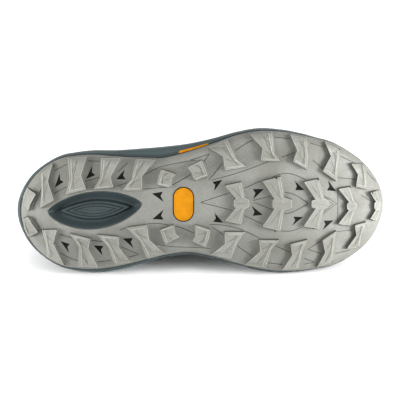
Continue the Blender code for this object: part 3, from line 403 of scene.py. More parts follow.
def place_of(point):
    """(tau, place) of a point of the tread given as x and y."""
    point = np.asarray(point, float)
    share = spine_share(point[0] / STEP_X)
    away = point - (HEEL_CENTRE + np.clip(share, 0, 1) * (TOE_CENTRE - HEEL_CENTRE)) * STEPS
    rows = np.arange(LAST_ROW + 1)
    first, last = STRAIGHT_ROWS
    if 0 < share < 1:
        row = straight_row(share)
    else:
        steps = away / STEPS
        row = np.interp(math.degrees(math.atan2(steps[0], abs(steps[1]))), EDGE["fan"], rows)
        if share <= 0:
            row = min(row, first)
        else:
            row = max(row, last)
    tau = float(row if away[1] < 0 else LOOP - row)
    length = float(np.linalg.norm(reach_of(np.array(tau))))
    distance = min(float(np.linalg.norm(away)), length * LUG_REACH_MOST)
    inner = length - EDGE_ROLL
    return tau, distance / inner if distance < inner else 1 + (distance - inner) / EDGE_ROLL


def foam_out(tau, height):
    """How far the foam's side stands out from the tread's edge, at a share of its height."""
    swell = calm(SIDE["height"], SIDE["swell"], height)
    lean = np.clip((height - LEAN_START) / (1 - LEAN_START), 0, 1)
    over = around(EDGE["over_lat"], EDGE["over_med"], tau) * OVERHANG
    return over * swell - both(EDGE, "inset", tau) * RIM_INSET * lean**1.5


def rim_top(tau):
    x = edge_of(tau, foam_out(tau, 1.0))[..., 0]
    return seat(x) + both(EDGE, "rim", tau) * RIM_HEIGHT


def with_height(xy, z):
    return np.concatenate((xy, np.broadcast_to(z, xy.shape[:-1])[..., None]), axis=-1)


# The upper's surface. Its normals come from points this far away, in rows and in shares of the wall.
MERIDIAN_STEPS = 48
NORMAL_ROWS = 0.08
NORMAL_SHARE = 0.02


def spine_y(x):
    grid = np.interp(x / STEP_X, (HEEL_CENTRE[0], TOE_CENTRE[0]), (HEEL_CENTRE[1], TOE_CENTRE[1]))
    return grid * STEP_Y


def feather_of(tau):
    """The upper's lower edge, just inside the foam's rim."""
    return edge_of(tau, foam_out(tau, 1.0) - RIM_WALL - GAP)


def meridian_handles(tau):
    """The four handles of the curve from the rim up to the top line."""
    low = with_height(feather_of(tau), rim_top(tau) + 2 * GAP)
    x = both(UPPER, "x", tau) * SOLE_LENGTH
    y = around(-UPPER["y"], UPPER["y"], tau) * BALL_WIDTH + spine_y(x)
    top = np.stack((x, y, both(UPPER, "z", tau) * COLLAR_HEIGHT), axis=-1)
    height = (top - low)[..., 2]
    outward = outward_of(tau)
    low_handle = low.copy()
    low_handle[..., :2] += outward * (both(UPPER, "flare", tau) * BALL_WIDTH)[..., None]
    low_handle[..., 2] += both(UPPER, "rise", tau) * height
    top_handle = top.copy()
    top_handle[..., :2] += (low - top)[..., :2] * both(UPPER, "shoulder", tau)[..., None]
    top_handle[..., :2] += outward * (both(UPPER, "puff", tau) * BALL_WIDTH)[..., None]
    top_handle[..., 2] -= both(UPPER, "drop", tau) * height
    return low, low_handle, top_handle, top


def meridians(tau):
    """Points up each meridian, and the length run to each of them."""
    b = np.linspace(0, 1, MERIDIAN_STEPS + 1)[:, None, None]
    low, low_handle, top_handle, top = meridian_handles(tau)
    points = (
        (1 - b) ** 3 * low
        + 3 * (1 - b) ** 2 * b * low_handle
        + 3 * (1 - b) * b**2 * top_handle
        + b**3 * top
    )
    runs = np.linalg.norm(np.diff(points, axis=0), axis=-1)
    return points, np.concatenate((np.zeros((1, len(tau))), np.cumsum(runs, axis=0)))


def wall_length(tau):
    return meridians(np.atleast_1d(np.asarray(tau, float)))[1][-1]


def skin(tau, share):
    """Points of the upper's outer face. share runs from 0 at the rim to 1 at the top line."""
    tau = np.atleast_1d(np.asarray(tau, float))
    share = np.broadcast_to(np.asarray(share, float), tau.shape)
    points, runs = meridians(tau)
    found = [
        [np.interp(share[n] * runs[-1, n], runs[:, n], points[:, n, axis]) for axis in range(3)]
        for n in range(len(tau))
    ]
    return np.array(found)


def skin_normal(tau, share):
    tau = np.atleast_1d(np.asarray(tau, float))
    share = np.broadcast_to(np.asarray(share, float), tau.shape)
    across = skin(tau + NORMAL_ROWS, share) - skin(tau - NORMAL_ROWS, share)
    up = skin(tau, np.minimum(share + NORMAL_SHARE, 1)) - skin(tau, np.maximum(share - NORMAL_SHARE, 0))
    normal = np.cross(across, up)
    return normal / np.linalg.norm(normal, axis=-1, keepdims=True)


def lifted_skin(tau, share, offset):
    """The upper's outer face, moved along its normal, outward where the offset is positive."""
    return skin(tau, share) + skin_normal(tau, share) * np.reshape(offset, (-1, 1))


def wall_of(tau, share):
    """Thickness of the upper's wall, padded around the collar."""
    ramp = np.clip((np.asarray(share, float) - PAD_START) / (PAD_FULL - PAD_START), 0, 1)
    ramp = ramp * ramp * (3 - 2 * ramp)
    return UPPER_WALL + COLLAR_PAD * np.clip(both(UPPER, "pad", tau), 0, 1) * ramp


def near_throat(row, side, distance):
    """(tau, share) of a point below the top line, on the lateral (-1) or medial (1) side."""
    tau = row if side < 0 else LOOP - row
    return tau, 1 - distance / float(wall_length(tau)[0])


# Laying the shoe down, by the record's two mounts on the tread
HEEL_MOUNT_STEPS = (88.0, -19.3)
FORE_MOUNT_STEPS = (214.7, -39.2)


def axes_from(along, down):
    """A turn whose columns are forward, across and up."""
    up = -down.normalized()
    across = up.cross(along).normalized()
    forward = across.cross(up)
    return Matrix((forward, across, up)).transposed()


def lying_place():
    mounts = {mount["name"]: mount for mount in frame["record"]["mounts"]}
    heel = Vector(mounts["tread_heel"]["pos_m"])
    fore = Vector(mounts["tread_forefoot"]["pos_m"])
    down = Vector(mounts["tread_heel"]["axis"])
    own_heel = Vector((*(STEPS * HEEL_MOUNT_STEPS), 0.0)) * MM
    own_fore = Vector((*(STEPS * FORE_MOUNT_STEPS), 0.0)) * MM
    turn = axes_from(fore - heel, down) @ axes_from(own_fore - own_heel, Vector((0, 0, -1))).inverted()
    return Matrix.Translation(heel - turn @ own_heel) @ turn.to_4x4()


LYING = lying_place()


# Meshes, in millimetres: corners this near are one, and pieces this far apart are carved at the same time
SAME_CORNER = 0.001
SAME_DIGITS = 5
APART = 0.1
MITRE_LEAST = 0.6


def mesh_object(name, points, faces, looks=(), kinds=None, sharp=40.0):
    """An object in millimetres on the standing shoe. kinds gives each face's place among the looks."""
    mesh = bpy.data.meshes.new(name)
    made = bmesh.new()
    corners = [made.verts.new(Vector(point)) for point in points]
    for number, face in enumerate(faces):
        if len({tuple(np.round(points[i], SAME_DIGITS)) for i in face}) > 2:
            new = made.faces.new([corners[i] for i in face])
            new.material_index = kinds[number] if kinds is not None else 0
    bmesh.ops.remove_doubles(made, verts=made.verts, dist=SAME_CORNER)
    bmesh.ops.recalc_face_normals(made, faces=made.faces)
    if made.calc_volume(signed=True) < 0:
        bmesh.ops.reverse_faces(made, faces=made.faces)
    made.to_mesh(mesh)
    made.free()
    mesh.shade_smooth()
    mesh.set_sharp_from_angle(angle=math.radians(sharp))
    for look in looks:
        mesh.materials.append(look)
    obj = bpy.data.objects.new(name, mesh)
    bpy.context.scene.collection.objects.link(obj)
    return obj


def ring_faces(ring_count, ring_size, wraps=False):
    faces = []
    for k in range(ring_count if wraps else ring_count - 1):
        low = k * ring_size
        high = (k + 1) % ring_count * ring_size
        for i in range(ring_size):
            j = (i + 1) % ring_size
            faces.append((low + i, low + j, high + j, high + i))
    return faces


def capped_faces(ring_count, ring_size):
    """Faces of a closed solid from rings, with one flat face at each end."""
    last = (ring_count - 1) * ring_size
    ends = [tuple(range(ring_size))[::-1], tuple(range(last, last + ring_size))]
    return ring_faces(ring_count, ring_size) + ends


def closed(rings):
    """Points and faces of a closed solid from rings."""
    return np.concatenate(rings), capped_faces(len(rings), len(rings[0]))


def ring_object(name, rings, looks, ring_kinds=None, wraps=False, sharp=40.0):
    """A solid from closed rings. ring_kinds gives the look of the band after each ring."""
    size = len(rings[0])
    faces = ring_faces(len(rings), size, wraps)
    kinds = None
    if ring_kinds is not None:
        kinds = [ring_kinds[number // size] for number in range(len(faces))]
    return mesh_object(name, np.concatenate(rings), faces, looks, kinds, sharp)


def shell_parts(outer, inner):
    """Points and faces of a thin solid between two grids of points, each of rows by columns."""
    rows, columns = outer.shape[:2]
    points = np.concatenate((outer.reshape(-1, 3), inner.reshape(-1, 3)))
    back = rows * columns
    faces = []
    for r in range(rows - 1):
        for c in range(columns - 1):
            a = r * columns + c
            quad = (a, a + 1, a + columns + 1, a + columns)
            faces.append(quad)
            faces.append(tuple(back + i for i in quad[::-1]))
    border = list(range(columns))
    border += [r * columns + columns - 1 for r in range(1, rows)]
    border += [(rows - 1) * columns + c for c in range(columns - 2, -1, -1)]
    border += [r * columns for r in range(rows - 2, 0, -1)]
    for a, b in zip(border, border[1:] + border[:1]):
        faces.append((a, b, back + b, back + a))
    return points, faces


def together(parts):
    """One list of points and one of faces from several pairs of them."""
    points, faces = [], []
    for new_points, new_faces in parts:
        faces += [tuple(len(points) + i for i in face) for face in new_faces]
        points += [tuple(point) for point in new_points]
    return points, faces


def groups_apart(parts):
    """The parts in groups, so that the boxes of a group's parts don't meet."""
    groups = []
    for part in parts:
        points = np.array([tuple(point) for point in part[0]])
        box = (points.min(axis=0) - APART, points.max(axis=0) + APART)
        for group in groups:
            if all(np.any(box[0] > high) or np.any(box[1] < low) for low, high in group["boxes"]):
                break
        else:
            group = {"boxes": [], "parts": []}
            groups.append(group)
        group["boxes"].append(box)
        group["parts"].append(part)
    return [group["parts"] for group in groups]


def carve(obj, operation, parts, kind):
    """Joins solids to obj or cuts them out of it, for good. kind: the look of the faces that state none."""
    for group in groups_apart(parts):
        points, faces = together([part[:2] for part in group])
        kinds = []
        for part in group:
            kinds += part[2] if len(part) > 2 else [kind] * len(part[1])
        tool = mesh_object("tool", points, faces, obj.data.materials, kinds)
        modifier = obj.modifiers.new("carve", "BOOLEAN")
        modifier.operation = operation
        modifier.object = tool
        modifier.solver = "EXACT"
        settle(obj)
        bpy.data.objects.remove(tool, do_unlink=True)


def settle(obj):
    """Applies the modifiers of obj."""
    bpy.context.view_layer.update()
    evaluated = obj.evaluated_get(bpy.context.evaluated_depsgraph_get())
    old = obj.data
    obj.data = bpy.data.meshes.new_from_object(evaluated)
    obj.modifiers.clear()
    bpy.data.meshes.remove(old)


def sweep(line, section):
    """Points and faces of a bar along a line. section: its corners, as distances sideways and up."""
    line = np.asarray(line, float)
    along = np.diff(line[:, :2], axis=0)
    along = along / np.maximum(np.linalg.norm(along, axis=1, keepdims=True), 1e-9)
    before = np.vstack((along[:1], along))
    after = np.vstack((along, along[-1:]))
    side = np.stack((before[:, 1] + after[:, 1], -before[:, 0] - after[:, 0]), axis=1)
    normal = np.stack((before[:, 1], -before[:, 0]), axis=1)
    side = side / np.maximum(np.sum(side * normal, axis=1, keepdims=True), MITRE_LEAST)
    points = []
    for place, away in zip(line, side):
        for out, up in section:
            points.append((place[0] + away[0] * out, place[1] + away[1] * out, place[2] + up))
    return points, capped_faces(len(line), len(section))


def resampled(line, step):
    """The line with more points, no further apart than a step."""
    line = np.asarray(line, float)
    out = [line[0]]
    for a, b in zip(line, line[1:]):
        count = max(1, math.ceil(np.linalg.norm(b - a) / step))
        out += [a + (b - a) * k / count for k in range(1, count + 1)]
    return np.array(out)


def finish_piece(obj, slot, *nodes):
    obj.data.transform(LYING @ Matrix.Scale(MM, 4))
    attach(obj, "root")
    if nodes:
        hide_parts(*nodes)
    return obj


# Outsole
FINE_STEP = 0.125
# Kinds of the outsole's faces. The edge look carries a painted highlight; the line, crease and wall looks
# carry painted shade.
RUBBER, LUG_FACE, LIT_LUG_EDGE, SHADED_LINE, DART, INLAY_EDGE, SHADED_CREASE, SHADED_WALL = range(8)

# The tread's skin: place across the tray, and offset into the sole
TREAD_SECTION = (
    (0.0, 0.0), (0.4, 0.0), (0.75, 0.0), (1.0, 0.0), (1.2, 0.0), (1.4, 0.0), (1.6, 0.0), (1.8, 0.0),
    (1.93, 0.0), (1.985, 0.12), (2.0, 0.5), (2.0, 1.7), (1.985, 2.08), (1.9, 2.2), (1.5, 2.2), (1.0, 2.2),
    (0.5, 2.2), (0.0, 2.2),
)

# A lug's side from its top to its root. Its top bevel's two bands take a pale look, a painted highlight.
# grow: distance outside its outline. share: of its height above the web.
LUG_SECTION = ((-0.5, 1.0), (-0.17, 0.985), (0.0, 0.93), (0.3, 0.5), (0.52, 0.2), (0.8, 0.05), (1.05, -0.14))
# The walls' two bands take a darker look than the web: painted shade.
LUG_BANDS = (LIT_LUG_EDGE, LIT_LUG_EDGE, SHADED_WALL, SHADED_WALL, RUBBER, RUBBER)
LUG_CORNER = 0.8
LUG_SAMPLE = 3.0
# Rounding of an outline's corner: the most of a side that it takes, and the parts of its curve
CORNER_SHARE = 0.4
CORNER_PARTS = (0, 0.33, 0.67, 1)
# Growing an outline: the least share of a mitre, and the times that crossed corners are merged
GROW_LEAST = 0.5
GROW_PASSES = 4
# Length between the points of a line on the web or on a lug
LINE_STEP = 2.5
# A centre lug's neck is this much wider than its knuckle, on the heel's and on the toe's side, in grid steps
NECK_MORE = (1.0, 1.5)


def web_at(xy):
    tau, place = place_of(xy)
    return tray(np.array(tau), place, 0.0), place


def web_line(steps):
    """A line on the web, from points in grid steps."""
    return np.array([web_at(xy)[0] for xy in resampled(np.array(steps, float) * STEPS, LINE_STEP)])


def lug_rise(place):
    """A lug's height, which fades where the tread rolls up."""
    return LUG_HEIGHT * (1 - LUG_EDGE_FADE * max(place - 1, 0) ** 2)


def lug_top(xy):
    point, place = web_at(xy)
    return np.array((point[0], point[1], point[2] - lug_rise(place)))


def rounded(corners, radius):
    """A closed outline with its outer corners rounded, and more points along its long sides."""
    corners = np.asarray(corners, float)
    before = np.roll(corners, 1, axis=0)
    after = np.roll(corners, -1, axis=0)
    turning = np.cross(corners - before, after - corners)
    outward = np.sign(np.sum(np.cross(corners, after)))
    pieces = []
    for corner, last, following, turn in zip(corners, before, after, turning):
        if turn * outward <= 0:
            pieces.append([corner])
            continue
        start = corner + (last - corner) * min(radius / np.linalg.norm(last - corner), CORNER_SHARE)
        end = corner + (following - corner) * min(radius / np.linalg.norm(following - corner), CORNER_SHARE)
        pieces.append([start * (1 - t) ** 2 + corner * 2 * t * (1 - t) + end * t**2 for t in CORNER_PARTS])
    points = [point for piece in pieces for point in piece]
    return resampled(points + [points[0]], LUG_SAMPLE)[:-1]


def grown(corners, by):
    """A closed outline in the plane, moved outward by some millimetres."""
    following = np.roll(corners, -1, axis=0)
    area = np.sum(corners[:, 0] * following[:, 1] - following[:, 0] * corners[:, 1])
    along = (following - corners) / np.linalg.norm(following - corners, axis=1, keepdims=True)
    normals = np.stack((along[:, 1], -along[:, 0]), axis=1) * np.sign(area)
    before = np.roll(normals, 1, axis=0)
    mitre = normals + before
    moved = corners + by * mitre / np.maximum(np.sum(mitre * normals, axis=1, keepdims=True), GROW_LEAST)
    for _ in range(GROW_PASSES):
        ahead = np.roll(moved, -1, axis=0)
        turned = np.sum((ahead - moved) * along, axis=1) < 0
        for i in np.flatnonzero(turned):
            j = (i + 1) % len(moved)
            moved[i] = moved[j] = (moved[i] + moved[j]) / 2
    return moved


def cap(points, turned=False):
    """Triangles over a closed outline that may have inner corners."""
    flat = [[Vector((point[0], point[1], 0.0)) for point in points]]
    triangles = [tuple(triangle) for triangle in tessellate_polygon(flat)]
    return [triangle[::-1] for triangle in triangles] if turned else triangles


def lug_solid(pairs):
    """Points, faces and kinds of a lug from the pairs of corners along it."""
    outline = [pair[0] for pair in pairs] + [pair[1] for pair in pairs[::-1]]
    outline = rounded(np.array([web_at(xy)[0][:2] for xy in np.array(outline) * STEPS]), LUG_CORNER)
    points = []
    for grow, share in LUG_SECTION:
        for xy in grown(outline, grow):
            web, place = web_at(xy)
            points.append((xy[0], xy[1], web[2] - lug_rise(place) * share))
    count = len(outline)
    root = len(points) - count
    top = cap(points[:count], True)
    bottom = [tuple(root + i for i in face) for face in cap(points[root:])]
    kinds = [band for band in LUG_BANDS for _ in range(count)]
    kinds += [LUG_FACE] * len(top) + [RUBBER] * len(bottom)
    return points, ring_faces(len(LUG_SECTION), count) + top + bottom, kinds


def edge_pairs(row):
    return [row[0:2], row[2:4], row[4:6]]


def centre_pairs(row):
    """Pairs of corners of a centre lug, from its lateral wing over its knuckle to its medial wing."""
    size = dict(zip(CENTRE_COLUMNS, row))
    neck = size["half"] + NECK_MORE[0]
    half = (
        ((size["wing_heel"], size["reach_heel"]), (size["wing_toe"], size["reach_toe"])),
        ((size["neck_heel"], neck), (size["neck_toe"], neck + NECK_MORE[1])),
        ((size["knuckle_heel"], size["half"]), (size["knuckle_toe"], size["half"])),
    )
    lateral = [tuple((x, size["axis"] - y) for x, y in pair) for pair in half]
    medial = [tuple((x, size["axis"] + y) for x, y in pair) for pair in half[::-1]]
    return lateral + medial


def on_lug(pairs, part, way):
    """A point of a lug's top in grid steps. part: share from heel side to toe side. way: share along it."""
    at = way * (len(pairs) - 1)
    low = min(int(at), len(pairs) - 2)
    lerp = at - low
    heel = np.array(pairs[low][0]) * (1 - lerp) + np.array(pairs[low + 1][0]) * lerp
    toe = np.array(pairs[low][1]) * (1 - lerp) + np.array(pairs[low + 1][1]) * lerp
    return heel * (1 - part) + toe * part


# Lines pressed into the lugs' tops, each a list of (part, way). The heel's lugs have them turned round.
EDGE_LUG_LINES = (
    ((0.48, 0.06), (0.72, 0.50), (0.62, 0.92)),
    ((0.50, 0.10), (0.80, 0.34)),
    ((0.18, 0.58), (0.80, 0.80)),
)
CENTRE_LUG_LINES = (
    ((0.35, 0.05), (0.62, 0.22)),
    ((0.35, 0.95), (0.62, 0.78)),
    ((0.20, 0.50), (0.80, 0.50)),
)
# Raised ridges near the edge that faces away from the shoe's middle, painted pale as a highlight
EDGE_LUG_RIDGE = ((0.84, 0.04), (0.80, 0.50), (0.84, 0.96))
CENTRE_LUG_RIDGES = (((0.82, 0.03), (0.78, 0.20)), ((0.82, 0.97), (0.78, 0.80)))
# The rolled foot across the end that faces the axis, painted pale as a highlight
EDGE_LUG_FOOT = (0.1, 0.9)
FOOT_PLACE = 0.915
FOOT_START_STEP = 40.0
MIDDLE_STEP = 165.0

LINE_SECTION = ((-0.32, -0.35), (0.32, -0.35), (0.16, 0.42), (-0.16, 0.42))
LUG_LINE_SECTION = ((-0.26, -0.4), (0.26, -0.4), (0.12, 0.28), (-0.12, 0.28))
RIDGE_SECTION = ((-0.55, 0.3), (0.55, 0.3), (0.42, -0.16), (0.2, -0.34), (-0.2, -0.34), (-0.42, -0.16))
FOOT_SECTION = ((-0.67, 0.37), (0.67, 0.37), (0.53, -0.21), (0.27, -0.43), (-0.27, -0.43), (-0.53, -0.21))


def lug_marks(lines, ridges, pairs, flip, section=RIDGE_SECTION):
    """Lines and ridges on one lug's top."""
    def on_top(line):
        steps = [on_lug(pairs, 1 - part if flip else part, way) for part, way in line]
        return np.array([lug_top(xy) for xy in resampled(np.array(steps) * STEPS, LINE_STEP)])

    cuts = [sweep(on_top(line), LUG_LINE_SECTION) for line in lines]
    raised = [sweep(on_top(line), section) for line in ridges]
    return cuts, raised


# Thin lines that outline the pods between the lugs, and the sixteen dark darts, in pixels of the photograph
PHOTO_HEEL = 17.0
PHOTO_AXIS = 202.0
POD_LINES = (
    ((55, 171), (69, 164)), ((88, 161), (100, 161.5)), ((105, 176), (112, 169)), ((50, 196), (69, 186)),
    ((83, 182), (101, 177)), ((118, 186), (131, 181)), ((118, 172), (128, 163)),
    ((144, 175), (160, 166), (195, 160)), ((143, 189), (167, 187)), ((172, 185), (191, 174)),
    ((34, 208), (41, 191), (47, 180)), ((41, 175), (49, 167)), ((35, 219), (46, 239)),
    ((60, 234), (73, 238)), ((56, 250), (70, 258), (80, 261)), ((91, 240), (105, 241.5)),
    ((96, 262), (111, 260)), ((120, 230), (127, 227)), ((130, 231), (140, 237)),
    ((120, 246), (139, 254), (128, 257)), ((148, 223), (160, 223), (170, 225), (181, 227), (194, 233)),
    ((150, 241), (163, 246), (195, 247), (210, 248)), ((200, 202), (233, 191)), ((200, 202), (232, 210)),
    ((190, 160), (209, 154)), ((208, 155), (203, 162)), ((224, 160), (208, 180)),
    ((211, 180), (240, 172), (268, 161)), ((234, 151), (245, 143), (255, 139)), ((272, 137), (290, 139)),
    ((280, 157), (295, 152)), ((243, 188), (261, 180)), ((252, 200), (272, 195)), ((253, 202), (271, 209)),
    ((243, 215), (262, 224)), ((209, 224), (220, 224), (240, 228), (259, 238)), ((211, 226), (225, 236)),
    ((236, 245), (252, 256)), ((274, 245), (290, 252)), ((267, 262), (282, 264)),
    ((268, 178), (280, 173), (290, 173), (305, 180)),
    ((283, 192), (292, 193), (307, 203), (292, 212), (283, 213.5)), ((275, 230), (290, 231), (300, 227)),
    ((314, 190), (336, 204), (320, 215)), ((318, 196), (332, 204), (322, 212)), ((337, 190), (337, 222)),
    ((311, 160), (323, 170)), ((308, 143), (321, 147)), ((337, 178), (355, 180)), ((340, 157), (357, 165)),
    ((320, 241), (307, 249), (321, 254)), ((303, 258), (314, 262), (303, 264)), ((336, 232), (352, 231)),
    ((335, 254), (350, 251)), ((361, 196), (372, 203)), ((367, 173), (377, 184)),
)
# Each dart's tip first
DARTS = (
    ((56, 187), (60.5, 174), (64, 182)), ((87, 178.5), (92.5, 167), (95.5, 175)),
    ((117, 179), (124.5, 170.5), (125.5, 179)), ((152.5, 193.5), (162, 192), (163, 201)),
    ((153, 218.5), (163, 210), (163, 219)), ((61.5, 241.5), (70, 244), (69, 252)),
    ((94.5, 245.5), (103.5, 246), (102.5, 254.5)), ((123.5, 238.5), (132.5, 238), (133, 247)),
    ((221, 180), (212, 182), (213.5, 190)), ((262, 189), (252, 189), (252.5, 198)),
    ((261, 214), (251, 206), (252, 215)), ((222, 222), (214, 213), (213, 221)),
    ((302, 189.5), (293.5, 181), (294, 189.5)), ((334, 191), (327, 181), (326, 190)),
    ((301, 217), (292.5, 216.5), (291.5, 224.5)), ((332, 221), (323, 221), (322, 229.5)),
)
# Small pits beside the lugs' outer corners, painted dark as shade
PITS = (
    (338.2, 149.9), (362.9, 165.4), (379.0, 191.6), (349.0, 187.4), (316.3, 179.0), (372.5, 193.9),
    (358.6, 248.0), (331.3, 261.5), (346.6, 226.3), (274.8, 177.7), (273.9, 230.5), (311.9, 228.0),
    (372.0, 221.0),
)
DART_NOTCH = 0.22
DART_SPREAD = 1.12
DART_DEPTH = 0.5
# How far a cutter starts outside the face that it cuts
CUT_OVER = 0.6
PIT_SIZE = 0.75
PIT_DEPTH = 0.4
# Bends of the lines are rounded twice, a share of a side each time, where their cosine is above this
SHARP_BEND = 0.6
BEND_PASSES = 2
BEND_SHARE = 4


def from_photo(pixels):
    return np.array(pixels, float) - (PHOTO_HEEL, PHOTO_AXIS)


def eased(line):
    """The line with its gentle bends rounded. Its sharp corners stay."""
    line = np.asarray(line, float)
    for _ in range(BEND_PASSES):
        parts = [line[:1]]
        for k in range(1, len(line) - 1):
            back, ahead = line[k] - line[k - 1], line[k + 1] - line[k]
            straight = np.dot(back, ahead) / (np.linalg.norm(back) * np.linalg.norm(ahead))
            eased_bend = [line[k] - back / BEND_SHARE, line[k] + ahead / BEND_SHARE]
            parts.append(line[k : k + 1] if straight < SHARP_BEND else eased_bend)
        line = np.concatenate(parts + [line[-1:]])
    return line


def recess(outline, depth, top=-CUT_OVER):
    """A flat-bottomed cutter for a closed outline on the web, given in grid steps."""
    webs = np.array([web_at(xy)[0] for xy in np.asarray(outline) * STEPS])
    return closed([webs + (0, 0, top), webs + (0, 0, depth)])


def dart_outline(corners):
    """A dart's tip, its two other corners and the notch between them."""
    corners = from_photo(corners)
    corners = corners.mean(axis=0) + (corners - corners.mean(axis=0)) * DART_SPREAD
    tip, first, second = corners
    middle = (first + second) / 2
    return np.array((first, middle + (tip - middle) * DART_NOTCH, second, tip))


def pit_outline(centre):
    centre = from_photo(centre)
    return centre + PIT_SIZE * np.array(((-1, -1), (1, -1), (1, 1), (-1, 1)))


def window_ring(rise, long, wide, pointed):
    """A ring of the heel window's eye shape, scaled about its middle. pointed 1 gives it sharp tips."""
    s = (1 - np.cos(np.linspace(0, math.pi, WINDOW_SIDE + 1))) / 2
    swell = np.sin(math.pi * s) ** (WINDOW_ROUNDING + (1 - WINDOW_ROUNDING) * pointed)
    start, end = WINDOW_TIPS
    axis = start + s[:, None] * (end - start)
    lateral = axis - np.stack((np.zeros_like(s), swell * WINDOW_BULGES[0]), axis=1)
    medial = axis + np.stack((np.zeros_like(s), swell * WINDOW_BULGES[1]), axis=1)
    ring = np.concatenate((lateral, medial[-2:0:-1]))
    middle = (start + end) / 2 + (0, (WINDOW_BULGES[1] - WINDOW_BULGES[0]) / 2)
    xy = (middle + (ring - middle) * (long, wide)) * STEPS
    return with_height(xy, ground(xy[:, 0]) + LUG_HEIGHT + rise)


# Rings of the window's cutter and of the leaf in it.
# rise: height above the web. long, wide: shares of the window.
WINDOW_RINGS = (
    (-12.0, 1.02, 1.04, 0.0),
    (-0.2, 1.02, 1.04, 0.0),
    (0.5, 1.0, 1.0, 0.0),
    (2.5, 0.995, 0.99, 0.0),
    (4.0, 0.955, 0.90, 0.1),
    (6.6, 0.90, 0.77, 0.2),
    (7.8, 0.86, 0.68, 0.3),
    (8.1, 0.82, 0.60, 0.5),
    (7.4, 0.78, 0.53, 0.7),
    (5.4, 0.74, 0.47, 0.9),
    (5.0, 0.70, 0.44, 1.0),
    (5.2, 0.64, 0.385, 1.0),
    (5.9, 0.62, 0.365, 1.0),
    (5.9, 0.60, 0.345, 1.0),
    (5.0, 0.57, 0.325, 1.0),
    (4.7, 0.53, 0.29, 1.0),
    (4.9, 0.47, 0.235, 1.0),
    (5.6, 0.45, 0.22, 1.0),
    (5.6, 0.43, 0.20, 1.0),
    (4.7, 0.40, 0.18, 1.0),
    (4.5, 0.34, 0.13, 1.0),
    (4.7, 0.26, 0.07, 1.0),
    (5.3, 0.22, 0.045, 1.0),
)


def window_solid():
    return closed([window_ring(*row) for row in WINDOW_RINGS])


def pill(grow):
    """The inlay's pill shape, moved outward by some millimetres."""
    width = INLAY_HALF_WIDTH * STEP_X + grow
    straight = INLAY_HALF_LENGTH * STEP_Y + grow - width
    turn = np.linspace(0, math.pi, 3 * INLAY_CORNER + 1)
    end = np.stack((width * np.cos(turn), straight + width * np.sin(turn)), axis=1)
    return np.concatenate((end, -end)) + INLAY_CENTRE * STEPS


def pill_solid(rows):
    """A pill-shaped solid from rows of growth and height."""
    return closed([with_height(pill(grow), height) for grow, height in rows])


# The inlay's pocket is this much larger, and slits up to this width and number of sides are closed
INLAY_MARGIN = 0.85
SLIT_WIDTH = 0.004
SLIT_SIDES = 8


def outsole(looks):
    tau = np.arange(0, LOOP, FINE_STEP)
    rings = [tray(tau, place, offset) for place, offset in TREAD_SECTION]
    sole = ring_object("outsole_tread", rings, looks)
    lines = [sweep(web_line(eased(from_photo(line))), LINE_SECTION) for line in POD_LINES]
    # The pressed lines are painted dark: painted shade in their grooves.
    carve(sole, "DIFFERENCE", lines, SHADED_LINE)
    carve(sole, "DIFFERENCE", [recess(dart_outline(corners), DART_DEPTH) for corners in DARTS], DART)
    lugs, cuts, ridges, feet = [], [], [], []
    for row in EDGE_LUGS.values():
        pairs = edge_pairs(row)
        lugs.append(lug_solid(pairs))
        neck_step = pairs[1][0][0]
        heel_end = neck_step < MIDDLE_STEP
        new_cuts, new_ridges = lug_marks(EDGE_LUG_LINES, [EDGE_LUG_RIDGE], pairs, heel_end)
        if neck_step > FOOT_START_STEP:
            inner = FOOT_PLACE if abs(pairs[-1][0][1]) < abs(pairs[0][0][1]) else 1 - FOOT_PLACE
            foot = [(part, inner) for part in EDGE_LUG_FOOT]
            feet += lug_marks((), [foot], pairs, heel_end, FOOT_SECTION)[1]
        cuts += new_cuts
        ridges += new_ridges
    for row in CENTRE_LUGS.values():
        pairs = centre_pairs(row)
        lugs.append(lug_solid(pairs))
        new_cuts, new_ridges = lug_marks(CENTRE_LUG_LINES, CENTRE_LUG_RIDGES, pairs, False)
        cuts += new_cuts
        ridges += new_ridges
    carve(sole, "UNION", lugs, RUBBER)
    # The ridges and feet take the pale edge look: painted highlight.
    carve(sole, "UNION", ridges, LIT_LUG_EDGE)
    carve(sole, "UNION", feet, LIT_LUG_EDGE)
    # The lines cut into the lugs' tops are painted darker than the tops: painted shade in the creases.
    carve(sole, "DIFFERENCE", cuts, SHADED_CREASE)
    # The pits take the same dark look: painted shade in the pits.
    pits = [recess(pit_outline(centre), PIT_DEPTH, -LUG_HEIGHT - CUT_OVER) for centre in PITS]
    carve(sole, "DIFFERENCE", pits, SHADED_LINE)
    carve(sole, "DIFFERENCE", [window_solid()], RUBBER)
    pocket = pill_solid(((INLAY_MARGIN, 0.0), (INLAY_MARGIN, LUG_HEIGHT + INLAY_POCKET)))
    carve(sole, "DIFFERENCE", [pocket], INLAY_EDGE)
    close_slits(sole)
    smooth_faces(sole)
    return finish_piece(sole, "tread_rubber", "outsole")


def close_slits(obj):
    """Merges the corners that nearly meet and fills the slivers that the joining left open."""
    mesh = bmesh.new()
    mesh.from_mesh(obj.data)
    bmesh.ops.remove_doubles(mesh, verts=mesh.verts, dist=SLIT_WIDTH)
    bmesh.ops.dissolve_degenerate(mesh, edges=mesh.edges, dist=SLIT_WIDTH)
    open_edges = [edge for edge in mesh.edges if len(edge.link_faces) == 1]
    bmesh.ops.holes_fill(mesh, edges=open_edges, sides=SLIT_SIDES)
    mesh.to_mesh(obj.data)
    mesh.free()


# Angle from which an edge stays sharp, and the weight of large faces in the shading
SHARP_ANGLE = 50
FLAT_WEIGHT = 60


def smooth_faces(obj):
    """Smooth shading that keeps the large faces flat."""
    obj.data.shade_smooth()
    obj.data.set_sharp_from_angle(angle=math.radians(SHARP_ANGLE))
    modifier = obj.modifiers.new("normals", "WEIGHTED_NORMAL")
    modifier.keep_sharp = True
    modifier.weight = FLAT_WEIGHT
    settle(obj)


